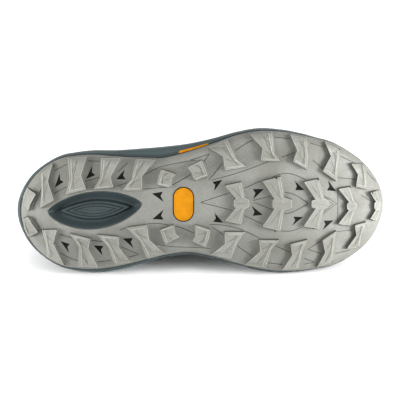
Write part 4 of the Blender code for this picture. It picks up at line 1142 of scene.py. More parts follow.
# Amber inlay, with a raised rim round a sunken field
INLAY_ROWS = (
    (0.0, LUG_HEIGHT + INLAY_POCKET - GAP),
    (0.0, LUG_HEIGHT - INLAY_PROUD + 0.35),
    (-0.12, LUG_HEIGHT - INLAY_PROUD + 0.08),
    (-0.4, LUG_HEIGHT - INLAY_PROUD),
    (-0.95, LUG_HEIGHT - INLAY_PROUD),
    (-1.2, LUG_HEIGHT - INLAY_PROUD + 0.3),
    (-1.5, LUG_HEIGHT - INLAY_PROUD + 0.34),
)


def inlay(looks):
    points, faces = pill_solid(INLAY_ROWS)
    return finish_piece(mesh_object("amber_pill", points, faces, looks), "amber_rubber", "amber_inlay")


# Midsole
# The inner foam, seen through the heel window, is painted darker than the side: painted shade.
SHADED_INNER_FOAM, SHADED_LOW_FOAM, LIT_HIGH_FOAM = range(3)
FOAM_HEIGHTS = np.linspace(0, 1, 33)
# Share of the side's height where the groove parts the lower half, painted darker as shade, from the upper
# half, painted lighter as a highlight
FOAM_PARTING = 0.49
# Places across the tray where the foam follows it
NEST_PLACES = (0.0, 0.5, 1.0, 1.3, 1.6, 1.85, 2.0)
# The rim's rounded top: distance inward and rise. Inside it: the drop, and shares of the way in.
RIM_ROUND = ((0.25, 0.22), (0.8, 0.38), (1.6, 0.38), (2.4, 0.3), (2.85, 0.05))
RIM_DROP = 0.5
SEAT_SHARES = (1.0, 0.75, 0.5, 0.25, 0.0)


def foam_lip(tau):
    """Height of the foam's lower edge, just above the tread's."""
    return tray(tau, 2.0, 0.0)[..., 2] + GAP


def foam_side(tau, height):
    lip = foam_lip(tau)
    return with_height(edge_of(tau, foam_out(tau, height)), lip + (rim_top(tau) - lip) * height)


def midsole(looks):
    tau = np.arange(0, LOOP, FINE_STEP)
    rings = [tray(tau, place, OUTSOLE_WALL + GAP) for place in NEST_PLACES]
    rings.append(with_height(edge_of(tau, np.full(len(tau), -OUTSOLE_WALL - GAP)), foam_lip(tau)))
    kinds = [SHADED_INNER_FOAM] * len(rings)
    rings += [foam_side(tau, height) for height in FOAM_HEIGHTS]
    kinds += [SHADED_LOW_FOAM if height < FOAM_PARTING else LIT_HIGH_FOAM for height in FOAM_HEIGHTS]
    top = rim_top(tau)
    out = foam_out(tau, 1.0)
    rings += [with_height(edge_of(tau, out - inset), top + rise) for inset, rise in RIM_ROUND]
    inner = edge_of(tau, out - RIM_WALL)
    foot = foot_of(tau)
    rings.append(with_height(inner, top - RIM_DROP))
    for share in SEAT_SHARES:
        xy = foot + (inner - foot) * share
        rings.append(with_height(xy, seat(xy[:, 0])))
    kinds += [SHADED_INNER_FOAM] * (len(rings) - len(kinds))
    foam = ring_object("midsole_foam_body", rings, looks, kinds)
    carve(foam, "DIFFERENCE", [window_solid()], SHADED_INNER_FOAM)
    smooth_faces(foam)
    return finish_piece(foam, "midsole_foam", "midsole")


# Plain amber bar under the lateral foam beside the waist: where it starts and ends along the shoe in grid
# steps, and its cross-section as shares of the foam's ledge beyond the tread and heights above that ledge
BAR_ENDS = (161.0, 191.0)
BAR_SECTION = ((0.12, 0.3), (0.12, -0.22), (0.2, -0.36), (0.98, -0.36), (1.06, -0.22), (1.06, 0.3))
BAR_STATIONS = 25
# The bar narrows to a share of its width at its ends, over some stations, towards the middle of the ledge
BAR_END_WIDTH = 0.25
BAR_TAPER = 2
BAR_MIDDLE = 0.58


def from_ends(count):
    """How many places each of a row of places is from the nearer end."""
    return np.minimum(np.arange(count), np.arange(count)[::-1])


def foam_bar(looks):
    tau = straight_row(spine_share(np.linspace(*BAR_ENDS, BAR_STATIONS)))
    taper = np.minimum(1, from_ends(BAR_STATIONS) / BAR_TAPER + BAR_END_WIDTH)
    ledge = foam_out(tau, 0.0)
    lines = []
    for part, rise in BAR_SECTION:
        out = ledge * (BAR_MIDDLE + (part - BAR_MIDDLE) * taper)
        lines.append(with_height(edge_of(tau, out), foam_lip(tau) + rise))
    points, faces = closed(np.stack(lines, axis=1))
    return finish_piece(mesh_object("amber_bar", points, faces, looks), "amber_rubber")


# Upper
SKIN_STEP = 0.25
KNIT, LINING, BINDING = range(3)
OUTER_SHARES = np.linspace(0, 1, 29)
INNER_SHARES = np.linspace(0.96, 0.04, 22)
CREST_STEPS = 9
CREST_RISE = 0.3

# Soft folds over the ball of the foot and at the ankle: row of the outline, share up the wall, depth, and
# how far each reaches along the rows and up the wall
FOLDS = (
    (12.6, 0.74, 0.9, 0.22, 0.30),
    (13.3, 0.66, 0.7, 0.20, 0.26),
    (11.8, 0.80, 0.6, 0.20, 0.22),
    (7.2, 0.62, 0.8, 0.35, 0.20),
    (6.2, 0.45, 0.5, 0.40, 0.18),
    (1.6, 0.62, 0.5, 0.60, 0.10),
)


def fold_depth(tau, share):
    """Depth of the folds, each a trough with a low ridge on both sides."""
    depth = np.zeros(len(tau))
    for row, height, deep, wide, tall in FOLDS:
        across = (row_of(tau) - row) / wide
        up = (share - height) / tall
        depth += deep * (1 - across**2) * np.exp(-(across**2)) * np.exp(-(up**2))
    return depth


def folded_skin(tau, share, lift=0.0):
    """The upper's outer face with its folds, moved outward by some millimetres."""
    return lifted_skin(tau, share, lift - fold_depth(tau, share))


def upper(looks):
    tau = np.arange(0, LOOP, SKIN_STEP)
    feather = feather_of(tau)
    low = seat(feather[:, 0]) + GAP
    inner_feather = feather - outward_of(tau) * UPPER_WALL
    rings = [with_height(feather, low)]
    rings += [folded_skin(tau, share) for share in OUTER_SHARES]
    kinds = [KNIT] * (len(rings) - 1)
    wall = wall_of(tau, 1.0)
    out = skin(tau, 1.0)
    away = lifted_skin(tau, 1.0, -wall)
    for turn in np.linspace(0, math.pi, CREST_STEPS + 2)[1:-1]:
        crest = (out + away) / 2 + (out - away) / 2 * math.cos(turn)
        crest[:, 2] += wall * CREST_RISE * math.sin(turn)
        rings.append(crest)
    kinds += [BINDING] * (CREST_STEPS + 1)
    rings.append(away)
    rings += [lifted_skin(tau, share, -wall_of(tau, share)) for share in INNER_SHARES]
    rings.append(with_height(inner_feather, skin(tau, 0.0)[:, 2]))
    rings.append(with_height(inner_feather, low))
    kinds += [LINING] * (len(rings) - len(kinds))
    shell = ring_object("knit_upper", rings, looks, kinds, wraps=True, sharp=60)
    pierce(shell, LINING)
    return finish_piece(shell, "upper_mesh", "upper")


# Overlays, thin films just outside the upper.
# A film's edge is rounded: distance inside the edge, and share of the full thickness.
# The edge and the ends keep the least shares below, and the ends thin out over some stations.
EDGE_ROUND = ((0.0, 0.0), (0.0, 0.7), (0.12, 0.92), (0.4, 1.0))
EDGE_THICKNESS = 0.15
END_THICKNESS = 0.4
END_FADE = 2
OVERLAY_ROWS = 14
EYESTAY_ROWS = 10
STAY_STATIONS = 161
CAP_STATIONS = 65


def overlay(name, tau, low, high, looks, rows=OVERLAY_ROWS):
    """A film between two heights above the rim, both in millimetres up the wall."""
    length = wall_length(tau)
    inset = EDGE_ROUND[-1][0]
    lines = [(low + inset, part) for inset, part in EDGE_ROUND]
    lines += [(low + inset + (high - low - 2 * inset) * part, 1.0) for part in np.linspace(0, 1, rows)[1:-1]]
    lines += [(high - inset, part) for inset, part in EDGE_ROUND[::-1]]
    end_part = END_THICKNESS + (1 - END_THICKNESS) * np.clip(from_ends(len(tau)) / END_FADE, 0, 1)
    outer, inner = [], []
    for height, part in lines:
        share = np.clip(height / length, 0, 1)
        lift = OVERLAY_GAP + OVERLAY_WALL * (EDGE_THICKNESS + (1 - EDGE_THICKNESS) * part * end_part)
        outer.append(folded_skin(tau, share, lift))
        inner.append(folded_skin(tau, share, OVERLAY_GAP / 2))
    points, faces = shell_parts(np.array(outer), np.array(inner))
    return mesh_object(name, points, faces, looks, sharp=50)


def arched(tau, middle, start, end_share):
    """Height of an overlay that is highest at its middle row and lower at its ends."""
    away = np.clip(np.abs(tau - middle) / start, 0, 1)
    return end_share + (1 - end_share) * np.cos(away * math.pi / 2) ** 1.5


def counter_top(tau):
    return arched(tau, 0.0, COUNTER_START, COUNTER_END_SHARE) * COUNTER_HEIGHT


def cap_top(tau):
    return arched(tau, LAST_ROW, LAST_ROW - TOE_CAP_START, TOE_CAP_END_SHARE) * TOE_CAP_HEIGHT


def counter(looks):
    tau = np.linspace(-COUNTER_START, COUNTER_START, CAP_STATIONS)
    piece = overlay("heel_counter_film", tau, OVERLAY_LIFT, counter_top(tau), looks)
    return finish_piece(piece, "overlay_film", "heel_counter")


def toe_cap(looks):
    tau = np.linspace(TOE_CAP_START, LOOP - TOE_CAP_START, CAP_STATIONS)
    piece = overlay("toe_cap_film", tau, OVERLAY_LIFT, cap_top(tau), looks)
    return finish_piece(piece, "overlay_film", "toe_cap")


def eyelet_places():
    """(tau, share) of each eyelet, front pair first: lateral, then medial."""
    return [near_throat(row, side, EYELET_INSET) for row in EYELET_ROWS for side in (-1, 1)]


def frame_at(tau, share):
    """A point of the upper's face, its normal, and two directions along the face."""
    centre = Vector(lifted_skin(tau, share, 0.0)[0])
    normal = Vector(skin_normal(tau, share)[0])
    across = normal.cross(Vector((1, 0, 0))).normalized()
    return centre, normal, across, normal.cross(across)


def disc_rings(tau, share, rows):
    """Rings of a turned form over the upper's face, from rows of radius outside the eyelet's and height."""
    centre, normal, across, along = frame_at(tau, share)
    turn = np.linspace(0, 2 * math.pi, EYELET_SIDES + 1)[:-1]
    rings = []
    for more, height in rows:
        spokes = [(across * math.cos(a) + along * math.sin(a)) * (EYELET_RADIUS + more) for a in turn]
        rings.append([tuple(centre + normal * height + spoke) for spoke in spokes])
    return rings


EYELET_SIDES = 24
EYELET_PLUG = ((0.0, -3.0), (0.0, 5.0))
EYELET_RING = (
    (1.1, 1.35), (0.95, 1.75), (0.5, 2.0), (0.1, 1.8), (-0.1, 1.2), (-0.1, 0.3), (0.3, 0.3), (1.1, 1.0),
)


def pierce(obj, kind):
    """Cuts the holes of the eyelets."""
    carve(obj, "DIFFERENCE", [closed(disc_rings(*place, EYELET_PLUG)) for place in eyelet_places()], kind)


def eyestay(looks):
    tau = np.linspace(EYESTAY_START, LOOP - EYESTAY_START, STAY_STATIONS)
    length = wall_length(tau)
    low, high = length - EYESTAY_BAND[1], length - EYESTAY_BAND[0]
    stay = overlay("eyestay_film", tau, low, high, looks, EYESTAY_ROWS)
    pierce(stay, 0)
    return finish_piece(stay, "overlay_film", "eyestay")


def eyelet_rings(looks):
    parts = []
    for place in eyelet_places():
        rings = disc_rings(*place, EYELET_RING)
        parts.append((np.concatenate(rings), ring_faces(len(rings), EYELET_SIDES, True)))
    points, faces = together(parts)
    return finish_piece(mesh_object("eyelet_rings", points, faces, looks), "overlay_film")


# Tongue
def under_throat(row, side, distance):
    """A point of the tongue under the upper near the throat, on the lateral (-1) or medial (1) side."""
    tau, share = near_throat(row, side, distance)
    wall = float(wall_of(np.array(tau), share))
    return lifted_skin(tau, share, -(wall + TONGUE_CLEARANCE))[0]


def tongue_row(row):
    """Nine points across the tongue at a row of the outline."""
    lateral = [under_throat(row, -1, distance) for distance in TONGUE_WING]
    medial = [under_throat(row, 1, distance) for distance in TONGUE_WING[::-1]]
    start, end = lateral[-1], medial[0]
    crown = np.linalg.norm(end - start) * TONGUE_CROWN
    arch = []
    for part in TONGUE_ARCH:
        point = start + (end - start) * part
        arch.append(point + np.array((0, 0, crown * 4 * part * (1 - part))))
    return np.array(lateral + arch + medial)


def tongue_face():
    """The tongue's outer face: a grid of its rows by nine points across."""
    rows = [tongue_row(row) for row in TONGUE_ROWS]
    base = rows[-1]
    crown = base[len(base) // 2]
    for back, up, wide, flat in TONGUE_TOP:
        rows.append(crown + (base - crown) * (flat, wide, flat) + (back, 0, up))
    return np.array(rows)


def refined(grid, factor):
    """A grid of points made finer both ways by smooth curves through it."""
    for axis in (0, 1):
        knots = np.arange(grid.shape[axis], dtype=float)
        at = np.linspace(0, knots[-1], (len(knots) - 1) * factor + 1)
        moved = np.moveaxis(grid, axis, 0)
        grid = np.moveaxis(hermite(knots, moved, np.gradient(moved, axis=0), at), 0, axis)
    return grid


def grid_normals(grid):
    down = np.gradient(grid, axis=0)
    across = np.gradient(grid, axis=1)
    normal = np.cross(down, across)
    normal = normal / np.linalg.norm(normal, axis=-1, keepdims=True)
    return normal * np.sign(normal[..., 2].sum())


# Sewn channels across the tongue's face: rows of its grid, depth and width.
# They fade towards the tongue's sides.
TONGUE_CHANNELS = (3.2, 4.6, 6.0, 7.4, 8.8, 10.2)
CHANNEL_DEPTH = 0.7
CHANNEL_WIDTH = 0.12
CHANNEL_MIDDLE = 4.0
CHANNEL_REACH = 2.2
TONGUE_FINE = 8
# Rows of the fine grid over which the ends round off, and the least squared share of the thickness there
TONGUE_END_ROWS = 5
TONGUE_END_LEAST = 0.04


def tongue(looks):
    outer = refined(tongue_face(), TONGUE_FINE)
    rows, columns = outer.shape[:2]
    row = np.linspace(0, len(TONGUE_ROWS) + len(TONGUE_TOP) - 1, rows)
    column = np.linspace(0, len(TONGUE_SECTION) - 1, columns)
    thick = np.interp(column, np.arange(len(TONGUE_SECTION)), TONGUE_SECTION)
    ends = np.clip(from_ends(rows) / TONGUE_END_ROWS, 0, 1)
    ends = np.sqrt(np.clip(ends * (2 - ends), TONGUE_END_LEAST, 1))[:, None]
    normals = grid_normals(outer)
    channel = sum(np.exp(-(((row - at) / CHANNEL_WIDTH) ** 2)) for at in TONGUE_CHANNELS)[:, None]
    middle = np.exp(-(((column - CHANNEL_MIDDLE) / CHANNEL_REACH) ** 4))[None, :]
    depth = TONGUE_THICKNESS * thick[None, :] * ends
    inward = TONGUE_THICKNESS / 2 * (1 - ends)
    front = outer - normals * (channel * middle * CHANNEL_DEPTH + inward)[..., None]
    back = outer - normals * (depth + inward)[..., None]
    points, faces = shell_parts(front, back)
    piece = mesh_object("padded_tongue", points, faces, looks, sharp=70)
    return finish_piece(piece, "upper_mesh", "tongue")


# Insole. Its rings run from the middle of its underside round its edge to the middle of its top.
# inset: distance inside its outline. rise: height over the foam's top. Then shares of the way out.
INSOLE_UNDER = (0.5, 0.0)
INSOLE_UNDER_SHARES = (0.0, 0.25, 0.5, 0.75, 1.0)
INSOLE_EDGE = (
    (0.1, 0.3), (0.0, 0.8), (0.0, INSOLE_THICKNESS - 0.9), (0.2, INSOLE_THICKNESS - 0.3),
    (0.7, INSOLE_THICKNESS), (1.6, INSOLE_THICKNESS - 0.1),
)
INSOLE_TOP = (2.4, INSOLE_THICKNESS - 0.5)
INSOLE_TOP_SHARES = (1.0, 0.8, 0.6, 0.4, 0.2, 0.0)


def insole(looks):
    tau = np.arange(0, LOOP, SKIN_STEP)
    foot = foot_of(tau)
    edge = edge_of(tau, foam_out(tau, 1.0) - RIM_WALL - 3 * GAP - UPPER_WALL)

    def ring(inset, rise, share=1.0):
        rim = edge - outward_of(tau) * inset
        xy = foot + (rim - foot) * share
        return with_height(xy, seat(xy[:, 0]) + GAP + rise)

    rings = [ring(*INSOLE_UNDER, share) for share in INSOLE_UNDER_SHARES]
    rings += [ring(*row) for row in INSOLE_EDGE]
    rings += [ring(*INSOLE_TOP, share) for share in INSOLE_TOP_SHARES]
    piece = ring_object("cloth_insole", rings, looks, sharp=60)
    return finish_piece(piece, "insole_cloth", "insole")


# Laces, run through the eyelets
LACE_FINE = 10
LACE_RING = 12
LACE_FLATTEN = 0.8
# How far a strand's ends reach into the eyelets, and how much higher the upper strand of a crossing runs
LACE_SUNK = 0.6
LACE_OVER = 2.2


def stay_point(row, side, distance, lift):
    """A point above the upper's face near the throat, on the lateral (-1) or medial (1) side."""
    return lifted_skin(*near_throat(row, side, distance), lift)[0]


def lace_path(start_row, start_side, end_row):
    """A strand from an eyelet, over the throat's edge and the tongue's crown, to the other side's eyelet."""
    lift = OVERLAY_GAP + OVERLAY_WALL + GAP + LACE_RADIUS
    near = start_row + (end_row - start_row) * LACE_EDGE_PART
    far = end_row + (start_row - end_row) * LACE_EDGE_PART
    crown = tongue_row((start_row + end_row) / 2)[len(TONGUE_SECTION) // 2]
    knots = [
        stay_point(start_row, start_side, EYELET_INSET, lift),
        stay_point(near, start_side, LACE_EDGE_INSET, lift + LACE_EDGE_LIFT),
        crown + (0, 0, LACE_RADIUS + GAP + LACE_CROWN_LIFT),
        stay_point(far, -start_side, LACE_EDGE_INSET, lift + LACE_EDGE_LIFT),
        stay_point(end_row, -start_side, EYELET_INSET, lift),
    ]
    knots[2][2] = max(knots[2][2], (knots[1][2] + knots[3][2]) / 2 + LACE_CROWN_LIFT)
    ends = ((start_row, start_side), (end_row, -start_side))
    first, last = [stay_point(row, side, EYELET_INSET, -LACE_SUNK) for row, side in ends]
    return np.array([first] + knots + [last])


def cord_tube(path, over=0.0):
    """Points and faces of a slightly flat cord along a path, with its ends closed."""
    path = path + np.array((0, 0, over)) * np.sin(np.linspace(0, math.pi, len(path)))[:, None]
    fine = np.linspace(0, len(path) - 1, (len(path) - 1) * LACE_FINE + 1)
    line = hermite(np.arange(len(path), dtype=float), path, np.gradient(path, axis=0), fine)
    along = np.gradient(line, axis=0)
    side = None
    points = []
    for place, direction in zip(line, along):
        direction = Vector(direction).normalized()
        lift = Vector((0, 0, 1)) if side is None else side.cross(direction)
        side = direction.cross(lift).normalized()
        lift = side.cross(direction).normalized()
        for k in range(LACE_RING):
            angle = 2 * math.pi * k / LACE_RING
            spoke = side * math.cos(angle) + lift * math.sin(angle) * LACE_FLATTEN
            points.append(tuple(Vector(place) + spoke * LACE_RADIUS))
    return points, capped_faces(len(line), LACE_RING)


def laces(looks):
    paths = [cord_tube(lace_path(EYELET_ROWS[0], -1, EYELET_ROWS[0]))]
    for number, (low, high) in enumerate(zip(EYELET_ROWS, EYELET_ROWS[1:])):
        for side in (-1, 1):
            over = LACE_OVER * LACE_RADIUS if (side > 0) == (number % 2 == 0) else 0.0
            paths.append(cord_tube(lace_path(low, side, high), over))
    points, faces = together(paths)
    return finish_piece(mesh_object("run_laces", points, faces, looks, sharp=60), "lace_cord", "laces")


# Stitches along the films and the collar: each one's length, spacing and radius, how far inside an edge they
# run, and the space left at a row's ends, in millimetres and in rows of the outline
STITCH_LENGTH = 1.9
STITCH_SPACING = 2.8
STITCH_RADIUS = 0.3
STITCH_INSET = 1.7
STITCH_SIDES = 6
STITCH_MARGIN = 0.8
STAY_MARGIN = 0.15
COUNTER_MARGIN = 0.2
# part of its length, share of its radius, and rise of the thread
STITCH_RINGS = ((0.0, 0.3, -0.18), (0.2, 0.85, 0.0), (0.5, 1.0, 0.08), (0.8, 0.85, 0.0), (1.0, 0.3, -0.18))
COLLAR_STITCHES = 8.2
COLLAR_DROP = 2.6


def between(run, line, mark):
    """The point at a length along a line, whose points lie at the lengths in run."""
    return Vector([np.interp(mark, run, line[:, axis]) for axis in range(3)])


def stitch_row(tau, height, lift):
    """Beads of thread along a line on the upper, whose height is in millimetres above the rim."""
    share = height / wall_length(tau)
    line = folded_skin(tau, share, lift)
    normals = skin_normal(tau, share)
    run = np.concatenate(((0,), np.cumsum(np.linalg.norm(np.diff(line, axis=0), axis=1))))
    parts = []
    for start in np.arange(STITCH_MARGIN, run[-1] - STITCH_LENGTH - STITCH_MARGIN, STITCH_SPACING):
        first = between(run, line, start)
        axis = between(run, line, start + STITCH_LENGTH) - first
        up = between(run, normals, start + STITCH_LENGTH / 2).normalized()
        side = axis.cross(up).normalized()
        points = []
        for part, width, rise in STITCH_RINGS:
            centre = first + axis * part + up * rise
            for turn in np.arange(STITCH_SIDES) * 2 * math.pi / STITCH_SIDES:
                points.append(centre + (side * math.cos(turn) + up * math.sin(turn)) * STITCH_RADIUS * width)
        parts.append((points, capped_faces(len(STITCH_RINGS), STITCH_SIDES)))
    return parts


def stitches(looks):
    film = OVERLAY_GAP + OVERLAY_WALL
    tau = np.linspace(EYESTAY_START + STAY_MARGIN, LOOP - EYESTAY_START - STAY_MARGIN, STAY_STATIONS)
    length = wall_length(tau)
    parts = stitch_row(tau, length - EYESTAY_BAND[1] + STITCH_INSET, film)
    parts += stitch_row(tau, length - EYESTAY_BAND[0] - STITCH_INSET, film)
    tau = np.linspace(-COUNTER_START + COUNTER_MARGIN, COUNTER_START - COUNTER_MARGIN, CAP_STATIONS)
    parts += stitch_row(tau, counter_top(tau) - STITCH_INSET, film)
    tau = np.linspace(TOE_CAP_START + STAY_MARGIN, LOOP - TOE_CAP_START - STAY_MARGIN, CAP_STATIONS)
    parts += stitch_row(tau, cap_top(tau) - STITCH_INSET, film)
    tau = np.linspace(-COLLAR_STITCHES, COLLAR_STITCHES, STAY_STATIONS)
    parts += stitch_row(tau, wall_length(tau) - COLLAR_DROP, 0.0)
    points, faces = together(parts)
    return finish_piece(mesh_object("stitches", points, faces, looks), "lace_cord")


# Materials. Colours are 8-bit tones, distances are in metres on the shoe.
RUBBER_ROUGHNESS = 0.62
FOAM_ROUGHNESS = 0.55
AMBER_ROUGHNESS = 0.45
CLOTH_ROUGHNESS = 0.85
FILM_ROUGHNESS = 0.6
DUST_TONE = (112, 108, 98)
GRIT_TONE = (84, 85, 80)
AMBER_LIGHT = (168, 110, 1)
AMBER_DARK = (156, 100, 1)


def new_look(name, roughness, **sockets):
    look = bpy.data.materials.new(name)
    look.use_nodes = True
    shader = look.node_tree.nodes["Principled BSDF"]
    shader.inputs["Roughness"].default_value = roughness
    for socket, value in sockets.items():
        shader.inputs[socket.replace("_", " ")].default_value = value
    return look, look.node_tree, shader


def node(tree, kind, inputs=None, **settings):
    """A shader node. inputs holds numbers, colours or other nodes' sockets."""
    made = tree.nodes.new("ShaderNode" + kind)
    for name, value in settings.items():
        setattr(made, name, value)
    for name, value in (inputs or {}).items():
        if isinstance(value, bpy.types.NodeSocket):
            tree.links.new(value, made.inputs[name])
        else:
            made.inputs[name].default_value = value
    return made


def place_socket(tree):
    """The place on the standing shoe, in metres."""
    back = LYING.inverted()
    inputs = {"Vector": node(tree, "TexCoord").outputs["Object"], "Location": back.translation}
    inputs["Rotation"] = back.to_euler("XYZ")
    return node(tree, "Mapping", inputs).outputs["Vector"]


def noise(tree, scale, detail=2.0, roughness=0.5, stretch=None):
    where = place_socket(tree)
    if stretch:
        where = node(tree, "Mapping", {"Vector": where, "Scale": stretch}).outputs["Vector"]
    inputs = {"Vector": where, "Scale": scale, "Detail": detail, "Roughness": roughness}
    return node(tree, "TexNoise", inputs).outputs["Fac"]


def spread(tree, value, low, high, out_low=0.0, out_high=1.0):
    """The value, spread from its range between low and high."""
    inputs = {"Value": value, "From Min": low, "From Max": high, "To Min": out_low, "To Max": out_high}
    return node(tree, "MapRange", inputs).outputs["Result"]


def math_node(tree, operation, first, second=0.0):
    return node(tree, "Math", {0: first, 1: second}, operation=operation).outputs[0]


def blend(tree, part, first, second):
    return node(tree, "Mix", {0: part, 6: first, 7: second}, data_type="RGBA", blend_type="MIX").outputs[2]


def colour(red, green, blue):
    """Linear colour from an 8-bit one."""
    channels = [value / 255 for value in (red, green, blue)]
    linear = [c / 12.92 if c <= 0.04045 else ((c + 0.055) / 1.055) ** 2.4 for c in channels]
    return (*linear, 1.0)


def bump(tree, height, distance, under=None):
    inputs = {"Height": height, "Distance": distance, "Strength": 1.0}
    if under:
        inputs["Normal"] = under
    return node(tree, "Bump", inputs).outputs["Normal"]


def wire(tree, value, shader, socket):
    tree.links.new(value, shader.inputs[socket])


def rubber_look(name, light, dark, grain, grain_depth, dust, grit, gloss):
    """Moulded rubber: broad clouds of tone, a fine grain, and a little dust."""
    light, dark = colour(*light), colour(*dark)
    look, tree, shader = new_look(name, RUBBER_ROUGHNESS, Specular_IOR_Level=gloss)
    clouds = spread(tree, noise(tree, 42, detail=3.0), 0.35, 0.65)
    tone = blend(tree, clouds, light, dark)
    dirt = spread(tree, noise(tree, 160, detail=4.0, roughness=0.65), 0.56, 0.74, out_high=dust)
    tone = blend(tree, dirt, tone, colour(*DUST_TONE))
    fine = noise(tree, grain, detail=3.0, roughness=0.6)
    tone = blend(tree, spread(tree, fine, 0.35, 0.65, out_high=grit), tone, colour(*GRIT_TONE))
    wire(tree, tone, shader, "Base Color")
    wire(tree, spread(tree, noise(tree, 230, detail=3.0), 0.3, 0.7, 0.5, 0.72), shader, "Roughness")
    wire(tree, bump(tree, fine, grain_depth), shader, "Normal")
    return look


def foam_look(name, light, dark):
    """Moulded foam with a thin skin: soft clouds, fine pores and faint stretched flow marks."""
    light, dark = colour(*light), colour(*dark)
    sockets = {"Specular_IOR_Level": 0.4, "Coat_Weight": 0.06, "Coat_Roughness": 0.45}
    look, tree, shader = new_look(name, FOAM_ROUGHNESS, **sockets)
    clouds = spread(tree, noise(tree, 34, detail=3.0), 0.35, 0.68)
    tone = blend(tree, clouds, light, dark)
    streaks = noise(tree, 90, detail=3.0, roughness=0.6, stretch=(0.35, 1.0, 3.0))
    flow = spread(tree, streaks, 0.5, 0.75, out_high=0.3)
    tone = blend(tree, flow, tone, dark)
    wire(tree, tone, shader, "Base Color")
    pores = noise(tree, 1500, detail=2.0, roughness=0.6)
    rough = spread(tree, pores, 0.3, 0.7, FOAM_ROUGHNESS - 0.08, FOAM_ROUGHNESS + 0.14)
    wire(tree, rough, shader, "Roughness")
    coarse = bump(tree, noise(tree, 260, detail=3.0), 0.00018)
    wire(tree, bump(tree, pores, 0.00006, under=coarse), shader, "Normal")
    return look


def amber_look(name):
    """Glossy amber rubber with faint clouds inside."""
    sockets = {"Specular_IOR_Level": 0.12, "Coat_Weight": 0.03, "Coat_Roughness": 0.4}
    look, tree, shader = new_look(name, AMBER_ROUGHNESS, **sockets)
    clouds = spread(tree, noise(tree, 120, detail=3.0), 0.35, 0.65)
    wire(tree, blend(tree, clouds, colour(*AMBER_LIGHT), colour(*AMBER_DARK)), shader, "Base Color")
    wire(tree, spread(tree, noise(tree, 420, detail=2.0), 0.3, 0.7, 0.32, 0.5), shader, "Roughness")
    wire(tree, bump(tree, noise(tree, 900, detail=2.0), 0.00006), shader, "Normal")
    return look


def woven_height(tree, pitch, tall):
    """Height of a fine knit: rows of loops round the shoe, each row shifted by half a loop."""
    parts = node(tree, "SeparateXYZ", {"Vector": place_socket(tree)})
    away = math_node(tree, "ABSOLUTE", parts.outputs["Y"])
    up = math_node(tree, "SUBTRACT", parts.outputs["Z"], away)
    along = math_node(tree, "ADD", parts.outputs["X"], away)
    along = math_node(tree, "MULTIPLY", along, 2 * math.pi / (pitch * MM))
    rise = math_node(tree, "MULTIPLY", up, 2 * math.pi / (tall * MM))
    first = math_node(tree, "SINE", math_node(tree, "ADD", along, rise))
    second = math_node(tree, "SINE", math_node(tree, "SUBTRACT", along, rise))
    return spread(tree, math_node(tree, "MULTIPLY", first, second), -1.0, 1.0)


def cloth_look(name, light, dark, pitch, tall, depth):
    """Knitted cloth: a repeating loop pattern, darker between the loops, with fine fuzz and soft clouds."""
    light, dark = colour(*light), colour(*dark)
    sockets = {"Specular_IOR_Level": 0.25, "Sheen_Weight": 0.3, "Sheen_Roughness": 0.5}
    look, tree, shader = new_look(name, CLOTH_ROUGHNESS, **sockets)
    loops = woven_height(tree, pitch, tall)
    tone = blend(tree, loops, dark, light)
    clouds = spread(tree, noise(tree, 36, detail=3.0), 0.35, 0.7, out_high=0.35)
    tone = blend(tree, clouds, tone, dark)
    wire(tree, tone, shader, "Base Color")
    fuzz = noise(tree, 2600, detail=2.0, roughness=0.6)
    rough = spread(tree, fuzz, 0.3, 0.7, CLOTH_ROUGHNESS - 0.1, CLOTH_ROUGHNESS + 0.1)
    wire(tree, rough, shader, "Roughness")
    wire(tree, bump(tree, loops, depth * MM, under=bump(tree, fuzz, 0.00008)), shader, "Normal")
    return look


def film_look(name, light, dark):
    """Thin moulded film with a fine leathery grain and a satin face."""
    light, dark = colour(*light), colour(*dark)
    sockets = {"Specular_IOR_Level": 0.3, "Coat_Weight": 0.03, "Coat_Roughness": 0.5}
    look, tree, shader = new_look(name, FILM_ROUGHNESS, **sockets)
    clouds = spread(tree, noise(tree, 60, detail=3.0), 0.35, 0.65)
    wire(tree, blend(tree, clouds, light, dark), shader, "Base Color")
    grain = noise(tree, 1300, detail=3.0, roughness=0.6)
    wire(tree, spread(tree, grain, 0.3, 0.7, 0.55, 0.72), shader, "Roughness")
    wire(tree, bump(tree, grain, 0.00012), shader, "Normal")
    return look


# Stage: a pale floor, a bright room, and a camera that looks squarely at the sole
CAMERA_DISTANCE = 1.3
CAMERA_ELEVATION = 19.4
CAMERA_ROLL = -0.17
PHOTO_SIDE = 400
SOLE_SPAN_PIXELS = 371.0
LOOK_AT = Vector((-0.0010, -0.0593, 0.0632))
SENSOR = 36.0


def set_camera():
    up_angle = math.radians(CAMERA_ELEVATION)
    toward = Vector((0, -math.cos(up_angle), math.sin(up_angle)))
    camera = bpy.data.objects.new("camera", bpy.data.cameras.new("camera"))
    bpy.context.scene.collection.objects.link(camera)
    camera.location = LOOK_AT + toward * CAMERA_DISTANCE
    roll = Matrix.Rotation(math.radians(CAMERA_ROLL), 4, "Z")
    camera.rotation_euler = ((-toward).to_track_quat("-Z", "Y").to_matrix().to_4x4() @ roll).to_euler()
    camera.data.sensor_width = SENSOR
    camera.data.sensor_fit = "HORIZONTAL"
    camera.data.lens = SENSOR * CAMERA_DISTANCE / (SOLE_LENGTH * MM * PHOTO_SIDE / SOLE_SPAN_PIXELS)
    bpy.context.scene.camera = camera


def add_lamp(name, place, power, size):
    lamp = bpy.data.lights.new(name, "AREA")
    lamp.energy = power
    lamp.size = size
    obj = bpy.data.objects.new(name, lamp)
    obj.location = place
    obj.rotation_euler = (Vector(place) - LOOK_AT).to_track_quat("Z", "Y").to_euler()
    bpy.context.scene.collection.objects.link(obj)


